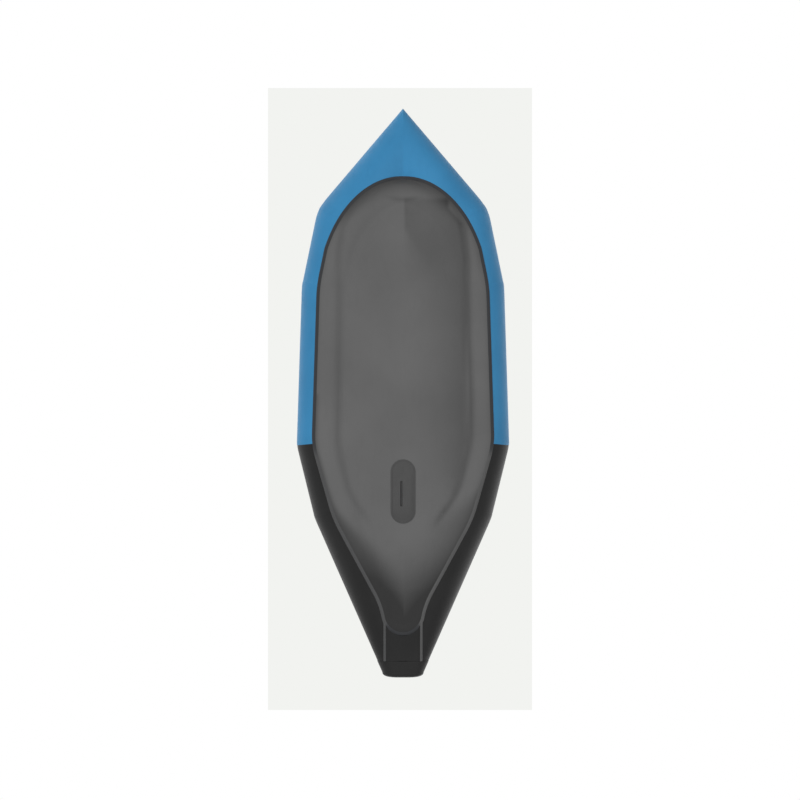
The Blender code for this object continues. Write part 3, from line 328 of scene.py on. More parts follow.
@dataclass(frozen=True)
class Webbing(Finish):
    """Polyester webbing, woven flat: close diagonal ribs, matt, with a little fuzz.

    The ribs are drawn 3 mm apart, about twice the real spacing, so that they show.
    """

    rib_mm: float = 3.0

    def shade_surface(self, tree: NodeTree, shader: Node) -> None:
        """Draws the diagonal ribs and the fuzz."""
        cloth = add_node(tree, "UVMap", {}, uv_map="cloth").outputs[0]
        scale = 0.2 * math.pi / (self.rib_mm * MM)
        ribs = add_node(
            tree, "TexWave", {0: cloth, "Scale": scale, "Distortion": 0.6}, bands_direction="DIAGONAL"
        )
        grit = object_noise(tree, 1.5, 3.0)
        patches = object_noise(tree, 40.0, 3.0)
        tone = add_node(tree, "Math", {0: ribs.outputs[1], 1: patches}, operation="MULTIPLY")
        relief = ((ribs.outputs[1], 0.5), (grit, 0.15))
        self.set_surface(tree, shader, tone.outputs[0], grit, relief)
        shader.inputs["Sheen Weight"].default_value = 0.15


@dataclass(frozen=True)
class MouldedPlastic(Finish):
    """Nylon or ABS out of a spark-eroded mould: an even fine grain, a little scuffed."""

    grain_mm: float = 0.8
    grain_depth: float = 0.05

    def shade_surface(self, tree: NodeTree, shader: Node) -> None:
        """Draws the mould's grain and the scuffs of use."""
        grit = object_noise(tree, self.grain_mm, 2.0)
        scuffs = object_noise(tree, 6.0, 5.0, (3, 1, 1))
        tone = add_node(tree, "MapRange", {0: scuffs, 1: 0.35, 2: 0.70, 3: 1.0, 4: 0.1})
        self.set_surface(tree, shader, tone.outputs[0], grit, ((grit, self.grain_depth),))


@dataclass(frozen=True)
class DrawnSteel(Finish):
    """Stainless wire, drawn and tumbled: bright, with fine lines and dull spots."""

    def shade_surface(self, tree: NodeTree, shader: Node) -> None:
        """Draws the die's lines and the tarnish."""
        lines = object_noise(tree, 0.6, 3.0, (8, 8, 1))
        spots = object_noise(tree, 5.0, 4.0)
        self.set_surface(tree, shader, spots, spots, ((lines, 0.02),))
        shader.inputs["Metallic"].default_value = 1.0


@dataclass(frozen=True)
class MouldedRubber(Finish):
    """Rubber from a press mould: matt, with a dusty bloom."""

    def shade_surface(self, tree: NodeTree, shader: Node) -> None:
        """Draws the bloom and the mould's texture."""
        bloom = object_noise(tree, 9.0, 4.0)
        grit = object_noise(tree, 1.0, 2.0)
        self.set_surface(tree, shader, bloom, grit, ((grit, 0.08),))


BLUE_FABRIC = CoatedFabric("blue_coated_ripstop_welded", Slot.BLUE_HULL, "#3a82b0", "#3478a4", 0.46)
BLACK_FABRIC = CoatedFabric(
    "black_coated_ripstop_welded", Slot.BLACK_HULL, "#212121", "#1a1a1a", 0.42, gloss=0.16
)
# The floor and the seam tape take a darker colour as painted shade; the tape's light grey is a painted
# highlight on its port side.
FLOOR_FABRIC = CoatedFabric(
    "grey_coated_floor_fabric_heavy", Slot.FLOOR, "#646464", "#5b5b5b", 0.55, yarn_mm=10.0,
    yarn_tone=0.06, patch_mm=420.0, gloss=0.12, scuff=0.15, grime="#2c2c2c",
)
TAPE_FABRIC = CoatedFabric(
    "dark_seam_tape_heat_welded", Slot.TAPE, "#585858", "#505050", 0.5, yarn_mm=3.0, yarn_depth=0.05,
    crease_mm=18.0, crease_depth=0.4, gloss=0.15, grime="#333436",
)
POCKET_FABRIC = CoatedFabric(
    "dark_grey_pocket_fabric_welded", Slot.POCKET, "#4e4e4e", "#464646", 0.55, yarn_mm=5.0,
    crease_mm=30.0, crease_depth=0.5, gloss=0.12,
)
CUSHION_FABRIC = CoatedFabric(
    "grey_coated_seat_fabric_inflated", Slot.CUSHION, "#62666a", "#55595d", 0.6, yarn_mm=6.0,
    patch_mm=120.0, crease_mm=28.0, crease_depth=0.8, gloss=0.12,
)
BLACK_WEBBING = Webbing("black_polyester_webbing_woven", Slot.WEBBING, "#2b2b2d", "#141415", 0.8)
STEEL_WIRE = DrawnSteel("stainless_steel_wire_drawn", Slot.STEEL, "#d2d1cd", "#b3b1ab", 0.3)
BLACK_NYLON = MouldedPlastic("black_nylon_moulded", Slot.BLACK_PLASTIC, "#2d2e30", "#1f2022", 0.42)
GREY_NYLON = MouldedPlastic("grey_nylon_moulded", Slot.GREY_PLASTIC, "#74777a", "#606366", 0.45)
RED_RUBBER = MouldedRubber("red_silicone_rubber_moulded", Slot.RUBBER, "#9c3a2e", "#86291f", 0.62)
GRIP_RUBBER = MouldedRubber("black_grip_rubber_extruded", Slot.WEBBING, "#29292a", "#1b1b1c", 0.66)


# Meshes


def turns_of(count: int) -> list[float]:
    """The angles of equal steps round a circle."""
    return [k * math.tau / count for k in range(count)]


def square_reach(c: float, s: float, squareness: float) -> float:
    """How far out a rounded square's edge is in a direction: 2 is a circle, and more is squarer."""
    return (abs(c) ** squareness + abs(s) ** squareness) ** (-1 / squareness)


def level_lay(row: int, column: int, point: Vector) -> tuple[float, float]:
    """The cloth's place on a level sheet."""
    return point.x, point.y


def frame_of(across: Vector, along: Vector, out: Vector, origin: Vector) -> Matrix:
    """The frame with three axes and an origin."""
    frame = Matrix((across, along, out)).transposed().to_4x4()
    frame.translation = origin
    return frame


def placed(name: str, data: ID) -> Object:
    """A new object in the scene."""
    made = bpy.data.objects.new(name, data)
    bpy.context.scene.collection.objects.link(made)
    return made


def evaluated(piece: Object) -> Mesh:
    """The piece's mesh with its modifiers applied."""
    graph = bpy.context.evaluated_depsgraph_get()
    return bpy.data.meshes.new_from_object(piece.evaluated_get(graph))


def skin(
    name: str, rows: Rows, wrap_rows: bool = False, caps: bool = False, lay: Lay | None = None
) -> Mesh:
    """A mesh through rows of points, with a cloth map in metres.

    Args:
        name: The mesh's name.
        rows: Rows of points, each as long as the others.
        wrap_rows: Joins the last row to the first, as each row's last point is joined to its first.
        caps: Closes the first and the last row with a face each.
        lay: Gives the cloth's place from a row, a column and a point. The lengths along
            the first column and the first row are used without it.

    Returns:
        The mesh, with its faces turned outward.
    """
    height, width = len(rows), len(rows[0])
    if lay is None:
        down, across = [0.0], [0.0]
        for k in range(height):
            down.append(down[-1] + (rows[(k + 1) % height][0] - rows[k][0]).length)
        for k in range(width):
            across.append(across[-1] + (rows[0][(k + 1) % width] - rows[0][k]).length)

        def lay(row: int, column: int, point: Vector) -> tuple[float, float]:
            """The lengths down the rows and across them."""
            return across[column], down[row]

    faces, spots = [], []
    for i in range(height if wrap_rows else height - 1):
        for k in range(width):
            cells = ((i, k), (i, k + 1), (i + 1, k + 1), (i + 1, k))
            faces.append([(r % height) * width + c % width for r, c in cells])
            spots.extend(lay(r, c, rows[r % height][c % width]) for r, c in cells)
    if caps:
        for row in (0, height - 1):
            faces.append([row * width + k for k in range(width)])
            spots.extend(lay(row, k, rows[row][k]) for k in range(width))
    mesh = bpy.data.meshes.new(name)
    mesh.from_pydata([tuple(p) for row in rows for p in row], [], faces)
    layer = mesh.uv_layers.new(name="cloth")
    layer.data.foreach_set("uv", [number for spot in spots for number in spot])
    turn_outward(mesh)
    return mesh


def turn_outward(mesh: Mesh) -> None:
    """Turns a closed mesh's faces outward."""
    shape = bmesh.new()
    shape.from_mesh(mesh)
    bmesh.ops.recalc_face_normals(shape, faces=shape.faces)
    shape.to_mesh(mesh)
    shape.free()


def joined(name: str, meshes: Sequence[Mesh]) -> Mesh:
    """One mesh out of several, each of which stays a closed shell of its own.

    Args:
        name: The new mesh's name.
        meshes: The meshes, in the same space.

    Returns:
        The joined mesh.
    """
    shape = bmesh.new()
    for mesh in meshes:
        shape.from_mesh(mesh)
    made = bpy.data.meshes.new(name)
    shape.to_mesh(made)
    shape.free()
    return made


def circle(radius: float, height: float, sides: int, ripple: Ripple | None = None) -> list[Vector]:
    """Points of a level circle round Z, which a ripple may move outward."""
    turns = turns_of(sides)
    more = [ripple(t, height) if ripple else 0.0 for t in turns]
    return [
        Vector(((radius + m) * math.cos(t), (radius + m) * math.sin(t), height))
        for t, m in zip(turns, more)
    ]


def turned(
    name: str, profile: Profile, sides: int = 72, bored: bool = True, ripple: Ripple | None = None
) -> Mesh:
    """A profile of (radius, height) points in millimetres, taken round Z.

    Args:
        name: The mesh's name.
        profile: The points, round a ring's section or from end to end of a solid.
        sides: How many sides the circle has.
        bored: True for a ring, False for a solid.
        ripple: How far the surface stands out at a turn and a height.

    Returns:
        The mesh.
    """
    rings = [circle(radius * MM, height * MM, sides, ripple) for radius, height in profile]
    return skin(name, rings, wrap_rows=bored, caps=not bored)


def sweep(
    name: str, path: Sequence[Vector], radii: Sequence[float], sides: int, closed: bool = False
) -> Mesh:
    """A round bar along a path, with a radius at each point.

    Args:
        name: The mesh's name.
        path: The points of its middle.
        radii: The radius at each point.
        sides: How many sides it has.
        closed: Joins its end to its start.

    Returns:
        The mesh.
    """
    rings = []
    count = len(path)
    aside = Vector((0.0, 0.0, 0.0))
    for k, point in enumerate(path):
        ahead = path[(k + 1) % count] if closed or k + 1 < count else point
        behind = path[k - 1] if closed or k else point
        tangent = (ahead - behind).normalized()
        if k == 0:
            aside = tangent.orthogonal().normalized() if abs(tangent.z) > 0.9 else tangent.cross(UP)
        aside = (aside - tangent * aside.dot(tangent)).normalized()
        other = tangent.cross(aside)
        rings.append(
            [point + (aside * math.cos(t) + other * math.sin(t)) * radii[k] for t in turns_of(sides)]
        )
    return skin(name, rings, wrap_rows=closed, caps=not closed)


def block(name: str, size: Sequence[float], centre: Sequence[float], edge: float) -> Mesh:
    """A moulded block with round edges.

    Args:
        name: The mesh's name.
        size: Its full size along X, Y and Z.
        centre: Its middle.
        edge: The radius of its edges.

    Returns:
        The mesh.
    """
    shape = bmesh.new()
    bmesh.ops.create_cube(shape, size=1.0)
    bmesh.ops.scale(shape, vec=size, verts=shape.verts)
    bmesh.ops.bevel(shape, geom=shape.edges[:], offset=edge, segments=3, profile=0.5, affect="EDGES")
    bmesh.ops.translate(shape, vec=centre, verts=shape.verts)
    mesh = bpy.data.meshes.new(name)
    shape.to_mesh(mesh)
    shape.free()
    return mesh


def ribbon(name: str, edges: Sequence[tuple[Vector, Vector]], thickness: float) -> Mesh:
    """A flat strap with soft edges.

    Args:
        name: The mesh's name.
        edges: The two edges' points at each place along its middle layer.
        thickness: How thick it is.

    Returns:
        The mesh.
    """
    rows = []
    widths = (-1.0, -0.94, -0.5, 0.0, 0.5, 0.94, 1.0)
    for k, (left, right) in enumerate(edges):
        ahead = edges[min(k + 1, len(edges) - 1)]
        behind = edges[max(k - 1, 0)]
        run = (sum(ahead, Vector()) - sum(behind, Vector())).normalized()
        half = (right - left) / 2
        out = run.cross(half).normalized() * (thickness / 2)
        middle = (left + right) / 2
        thin = [0.45 if abs(w) == 1.0 else 1.0 for w in widths]
        top = [middle + half * w + out * t for w, t in zip(widths, thin)]
        under = [middle + half * w - out * t for w, t in zip(widths, thin)]
        rows.append(top + under[::-1])
    return skin(name, rows, caps=True)


def stitches(name: str, seams: Iterable[tuple[Vector, Vector]], out: Vector, pitch_mm: float) -> Mesh:
    """Rows of sewn thread that lie on a surface.

    Args:
        name: The mesh's name.
        seams: The start and the end of each row.
        out: The way out of the surface.
        pitch_mm: The length of a stitch and the space after it.

    Returns:
        The mesh.
    """
    threads = []
    for start, end in seams:
        count = max(int((end - start).length / (pitch_mm * MM)), 1)
        step = (end - start) / count
        aside = step.cross(out).normalized()
        for k in range(count):
            rings = []
            for share, size in ((0.08, 0.15), (0.25, 0.42), (0.5, 0.5), (0.7, 0.42), (0.86, 0.15)):
                middle = start + step * (k + share) + out * (0.15 * MM)
                around = [aside * math.cos(t) + out * math.sin(t) for t in turns_of(6)]
                rings.append([middle + way * (size * MM) for way in around])
            threads.append(skin("thread", rings, caps=True))
    return joined(name, threads)


def show(
    name: str, mesh: Mesh, finish: Finish, frame: Matrix | None = None, node: str = "",
    body: str = "hull", smooth: float = 40.0,
) -> Object:
    """Puts a piece in the scene, dressed, and riding on its body.

    Args:
        name: The piece's name.
        mesh: Its mesh.
        finish: Its finish.
        frame: The frame that the mesh was made in.
        node: The node that it replaces, if it replaces one.
        body: The body that it moves with.
        smooth: Edges that turn less than this many degrees are shaded smooth.

    Returns:
        The piece.
    """
    if frame:
        mesh.transform(frame)
    piece = placed(name, mesh)
    mesh.materials.clear()
    mesh.materials.append(finish.material())
    mesh.shade_smooth()
    mesh.set_sharp_from_angle(angle=math.radians(smooth))
    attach(piece, body)
    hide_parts(*([node] if node else []))
    LOG.info("%s: %d points, rides on %s", name, len(mesh.vertices), body)
    return piece


# Hull


@dataclass(frozen=True)
class Ring:
    """One upright cross-section of the port tube."""

    centre: Vector
    across: Vector
    radius: float
    drawn_aft: float = 0.0

    def mixed(self, other: Ring, share: float) -> Ring:
        """The section at a share of the way to another ring."""
        return Ring(
            self.centre.lerp(other.centre, share),
            self.across.lerp(other.across, share),
            self.radius + (other.radius - self.radius) * share,
        )

    def point(self, turn: float, out: float = 0.0) -> Vector:
        """The point at a turn from the outer edge, moved out of the surface."""
        share = 1.0 + out / self.radius
        aft = self.drawn_aft * smooth_step(-math.sin(turn) / 0.7)
        return (
            self.centre
            + self.across * (share * math.cos(turn))
            + UP * (self.radius * share * math.sin(turn))
            + Vector((0.0, aft, 0.0))
        )


@dataclass(frozen=True)
class Bend:
    """A bend of the port outline, with the length over which its corner is rounded."""

    y: float
    half: float
    rise: float
    rounding: float


@dataclass(frozen=True)
class Panel:
    """One fabric panel of the tube, between two bends."""

    name: str
    rings: tuple[int, ...]
    finish: Finish


@dataclass
class Hull:
    """The ring of mitred tube panels, with the stern cap over its rear ends."""

    tip: Bend = Bend(-1.300, 0.0, 0.070, 0.0)
    shoulder: Bend = Bend(-0.838, 0.388, 0.015, 0.050)
    fore: Bend = Bend(-0.482, 0.461, 0.0, 0.022)
    beam: Bend = Bend(0.240, 0.484, 0.0, 0.030)
    quarter: Bend = Bend(0.573, 0.402, 0.0, 0.026)
    stern: Bend = Bend(1.277, 0.093, 0.130, 0.0)
    tube_radius: float = 0.140
    stern_radius: float = 0.0465
    bottom: float = 0.002
    pinch_rise: float = 0.012
    joint_gap: float = 0.0002
    wall: float = 0.0012
    sides: int = 96
    overlap: float = 0.018
    overlap_height: float = 0.0006
    pucker: float = 0.0008
    pucker_waves: tuple[int, int] = (23, 9)
    pucker_turn: float = math.radians(14)
    pucker_place: float = 0.022
    pucker_spread: float = 0.020
    valve_holes: tuple = ((0.30, 17.3), (0.74, 6.3))
    tape_half: float = 0.015
    cap_skirt: float = 0.055
    cap_bulge: float = 0.023
    bow_smoothing: float = 0.130
    rings: list[Ring] = field(default_factory=list)
    surface: BVHTree | None = None

    def __post_init__(self) -> None:
        """Works out the rings at the bends, at the pinch where the sides touch, and astern."""
        bends = [self.tip, self.shoulder, self.fore, self.beam, self.quarter, self.stern]
        line = [Vector((bend.half, bend.y)) for bend in bends]
        self.line = line
        befores = [Vector((-line[1].x, line[1].y))] + line[:4]
        for k, before in enumerate(befores):
            middle = (inward(before, line[k]) + inward(line[k], line[k + 1])).normalized()
            width = 2 * self.tube_radius / middle.dot(inward(line[k], line[k + 1]))
            inner = line[k] + middle * width
            self.rings.append(self.ring(line[k], inner, self.tube_radius, bends[k].rise))
        aft = inward(line[4], line[5])
        pinch_half = 2 * self.tube_radius / abs(aft.x)
        pinch = line[4].lerp(line[5], (line[4].x - pinch_half) / (line[4].x - line[5].x))
        inner = Vector((self.joint_gap, pinch.y))
        self.rings.append(self.ring(pinch, inner, self.tube_radius, self.pinch_rise))
        inner = Vector((self.joint_gap, line[5].y))
        self.rings.append(self.ring(line[5], inner, self.stern_radius, self.stern.rise))
        self.outline = [(point.y, point.x) for point in line]
        self.roundings = [bend.rounding for bend in bends[:5]]
        self.panels = (
            Panel("bow_tube", (0, 1), BLUE_FABRIC),
            Panel("shoulder_tube", (1, 2), BLUE_FABRIC),
            Panel("side_tube", (2, 3), BLUE_FABRIC),
            Panel("quarter_tube", (3, 4), BLACK_FABRIC),
            Panel("stern_tube", (4, 5, 6), BLACK_FABRIC),
        )

    def ring(self, outer: Vector, inner: Vector, radius: float, rise: float) -> Ring:
        """A ring between an outer and an inner point of the outline."""
        middle = (outer + inner) / 2
        across = Vector((outer.x - inner.x, outer.y - inner.y, 0.0)) / 2
        return Ring(Vector((middle.x, middle.y, self.bottom + rise + radius)), across, radius)

    def length(self, panel: Panel) -> float:
        """The length of a panel along its middle."""
        centres = [self.rings[k].centre for k in panel.rings]
        return sum((b - a).length for a, b in zip(centres, centres[1:]))

    def ring_at(self, panel: Panel, distance: float) -> Ring:
        """The panel's section at a distance from its front, on straight lines."""
        for first, last in zip(panel.rings, panel.rings[1:]):
            start, end = self.rings[first], self.rings[last]
            span = (end.centre - start.centre).length
            if distance <= span or last == panel.rings[-1]:
                return start.mixed(end, distance / span)
            distance -= span
        raise ValueError(panel.name)

    def section(self, panel: Panel, distance: float) -> Ring:
        """The panel's section, eased at the pinch and rounded into its bends.

        Args:
            panel: The panel.
            distance: How far aft of its front end.

        Returns:
            The section.
        """
        whole = self.length(panel)
        window = min(0.10, distance, whole - distance) if len(panel.rings) > 2 else 0.0
        samples = [self.ring_at(panel, distance + window * k / 4) for k in range(-4, 5)]
        count = len(samples)
        centre = sum((s.centre for s in samples), Vector()) / count
        across = sum((s.across for s in samples), Vector()) / count
        radius = sum(s.radius for s in samples) / count
        smoothed = 0.0
        if panel.rings[0] == 0 and distance < self.bow_smoothing:
            smoothed = (self.bow_smoothing - distance) ** 2 / (2 * self.bow_smoothing)
            smoothed *= (self.line[1] - self.line[0]).normalized().y
        for end, away in ((panel.rings[0], distance), (panel.rings[-1], whole - distance)):
            if end in (0, 5, 6) or away >= self.roundings[end]:
                continue
            reach = self.roundings[end]
            turn = self.half_turn(end)
            shift = math.tan(turn) * (reach - away) ** 2 / (2 * reach)
            centre = centre - self.rings[end].across.normalized() * shift
        return Ring(centre, across, radius, smoothed)

    def half_turn(self, index: int) -> float:
        """Half the angle that the outline turns by at a bend."""
        if index == 0:
            return 0.0
        before, here, after = self.line[index - 1 : index + 2]
        return (here - before).normalized().angle((after - here).normalized()) / 2

    def stations(self, whole: float) -> list[float]:
        """Distances along a panel, close together near its ends."""
        near = [0.0, 2.0, 5.0, 9.0, 14.0, 17.0, 18.2, 19.5, 24.0, 32.0, 42.0, 55.0]
        near = [place * MM for place in near]
        middle = whole - 2 * near[-1]
        count = max(int(middle / 0.035), 2)
        between = [near[-1] + middle * k / count for k in range(1, count)]
        return near + between + [whole - place for place in near[::-1]]

    def relief(self, panel: Panel, distance: float, whole: float, turn: float) -> float:
        """How far the fabric stands out: the welded overlap, and puckers at the bends."""
        behind = whole - distance
        edge = smooth_step((self.overlap + 0.0012 - behind) / 0.0024)
        out = self.overlap_height * edge if panel.rings[-1] < 5 else 0.0
        for end, away in ((panel.rings[0], distance), (panel.rings[-1], behind)):
            if end >= len(self.roundings):
                continue
            sharp = self.half_turn(end) / self.pucker_turn
            inner = 0.25 + 0.75 * max(-math.cos(turn), 0.0)
            short, long = self.pucker_waves
            wave = math.sin(short * turn + 2.1 * end) * math.sin(long * turn + end)
            near = hump(away - self.pucker_place, self.pucker_spread)
            out += self.pucker * sharp * inner * wave * near
        return out

    def build(self) -> None:
        """Makes the panels, the cap, and the tapes inside the bends."""
        points: list[Vector] = []
        faces: list[list[int]] = []
        for panel in self.panels:
            whole = self.length(panel)
            stations = self.stations(whole)
            sections = [self.section(panel, distance) for distance in stations]
            turns = turns_of(self.sides)
            outer = []
            for distance, ring in zip(stations, sections):
                outs = [self.relief(panel, distance, whole, t) for t in turns]
                outer.append([ring.point(t, out) for t, out in zip(turns, outs)])
            inner = [[ring.point(t, -self.wall) for t in turns] for ring in sections]
            for side in Side:
                rows = [side.mirrored(row) for row in outer + inner[::-1]]
                distances = stations + stations[::-1] + stations[:1]
                girth = self.tube_radius * math.tau / self.sides

                def lay(row: int, column: int, point: Vector) -> tuple[float, float]:
                    """The cloth's place: round the tube, and along it."""
                    return column * girth, distances[row]

                name = f"{panel.name}_{side.word}"
                mesh = skin(name + "_skin", rows, wrap_rows=True, lay=lay)
                if name == "quarter_tube_port":
                    mesh = self.pierced(mesh)
                show(name + "_skin", mesh, panel.finish, node=name, smooth=50)
                self.gather(points, faces, rows[: len(outer)])
        self.cap(points, faces)
        self.surface = BVHTree.FromPolygons(points, faces)
        self.tapes()

    def gather(self, points: list[Vector], faces: list[list[int]], rows: Rows) -> None:
        """Adds rows of points to the surface that other pieces lie on."""
        start, width = len(points), len(rows[0])
        for row in rows:
            points.extend(row)
        for i in range(len(rows) - 1):
            for k in range(width):
                n = (k + 1) % width
                low, high = start + i * width, start + (i + 1) * width
                faces.append([low + k, low + n, high + n, high + k])

    def pierced(self, mesh: Mesh) -> Mesh:
        """The valves' panel with the two holes that the necks pass through."""
        for share, radius in self.valve_holes:
            frame = self.crown_frame(3, share, Side.PORT)
            rod = turned("hole", [(radius, -17.0), (radius, 17.0)], 48, bored=False)
            rod.transform(frame)
            cutter, panel = placed("hole", rod), placed("pierced", mesh)
            cut = panel.modifiers.new("hole", "BOOLEAN")
            cut.operation = "DIFFERENCE"
            cut.solver = "EXACT"
            cut.object = cutter
            mesh = evaluated(panel)
            for made in (cutter, panel):
                bpy.data.objects.remove(made, do_unlink=True)
        return mesh

    def stern_section(self, distance: float, out: float, scale: float, shift: float) -> list[Vector]:
        """Both stern tubes' outline, for the cap."""
        panel = self.panels[-1]
        ring = self.section(panel, distance)
        steps = self.sides // 2
        turns = [math.pi * (k / steps - 0.5) for k in range(steps + 1)]
        port = [ring.point(t, out) for t in turns]
        outline = port + [Vector((-p.x, p.y, p.z)) for p in port[::-1]]
        middle = ring.centre.z
        return [Vector((p.x * scale, p.y + shift, middle + (p.z - middle) * scale)) for p in outline]

    def cap(self, points: list[Vector], faces: list[list[int]]) -> None:
        """The fabric cap pulled over both stern tube ends."""
        whole = self.length(self.panels[-1])
        skins = []
        for out, bow in ((0.0017, self.cap_bulge), (0.0004, self.cap_bulge - self.wall)):
            rings = []
            for place in (self.cap_skirt, 0.052, 0.046, 0.030, 0.014, 0.004, 0.0):
                edge = -0.0006 * smooth_step((place - 0.050) / 0.005) if out > 0.001 else 0.0
                rings.append(self.stern_section(whole - place, out + edge, 1.0, 0.0))
            for step in range(1, 12):
                angle = step * math.pi / 24
                scale = max(math.cos(angle), 0.0) ** 0.45
                rings.append(self.stern_section(whole, out, scale, bow * math.sin(angle) ** 0.9))
            rings.append(self.stern_section(whole, out, 0.12, bow))
            skins.append(rings)
        self.gather(points, faces, skins[0])
        rows = skins[0][::-1] + skins[1]
        end = self.stern.y + 0.003

        def lay(row: int, column: int, point: Vector) -> tuple[float, float]:
            """The cloth's place: along the skirt, and flat over the end."""
            return (point.x, point.z) if point.y > end else (point.x + point.z, point.y)

        mesh = skin("stern_cap_skin", rows, caps=True, lay=lay)
        show("stern_cap_skin", mesh, BLACK_FABRIC, node="stern_cap")

    def tapes(self) -> None:
        """The tapes welded across the mitres inside the tubes."""
        names = ("bow", "shoulder", "fore", "beam", "quarter")
        turns = turns_of(48)
        for index, name in enumerate(names):
            for side in (Side.PORT,) if index == 0 else Side:
                rings = []
                for out in (-0.0017, -0.0024):
                    row = []
                    for panel_index, at_front in ((index - 1, False), (index, True)):
                        panel = self.panels[max(panel_index, 0)]
                        whole = self.length(panel)
                        places = (self.tape_half, 0.007) if not at_front else (0.0, 0.007, self.tape_half)
                        for place in places:
                            ring = self.section(panel, place if at_front or index == 0 else whole - place)
                            points = [ring.point(t, out) for t in turns]
                            if index == 0 and not at_front:
                                points = Side.STARBOARD.mirrored(points)
                            row.append(side.mirrored(points))
                    rings.extend(row if not rings else row[::-1])
                piece = f"{name}_inner_tape" + ("" if index == 0 else f"_{side.word}")
                mesh = skin(piece + "_strip", rings, wrap_rows=True)
                show(piece + "_strip", mesh, TAPE_FABRIC, node=piece)

    @property
    def cap_edge(self) -> float:
        """How far aft the stern cap's skirt starts."""
        return self.stern.y - self.cap_skirt

    def cast(self, start: Vector, way: Vector) -> Vector | None:
        """Where a ray meets the hull. It keeps off the line between the two sides."""
        x = 0.002 if abs(start.x) < 0.002 else start.x
        return self.surface.ray_cast(Vector((x, start.y, start.z)), way)[0]

    def crown_frame(self, index: int, share: float, side: Side) -> Matrix:
        """A frame on the tube's top line: X across it, Y aft, Z out of it.

        Args:
            index: The ring at the panel's front.
            share: How far along the panel.
            side: Which side of the raft.

        Returns:
            The frame.
        """
        first = self.rings[index].point(math.pi / 2)
        last = self.rings[index + 1].point(math.pi / 2)
        origin, end = side.mirrored([first.lerp(last, share), last])
        along = (end - origin).normalized()
        across = along.cross(UP).normalized()
        return frame_of(across, along, across.cross(along), origin)


# Floor


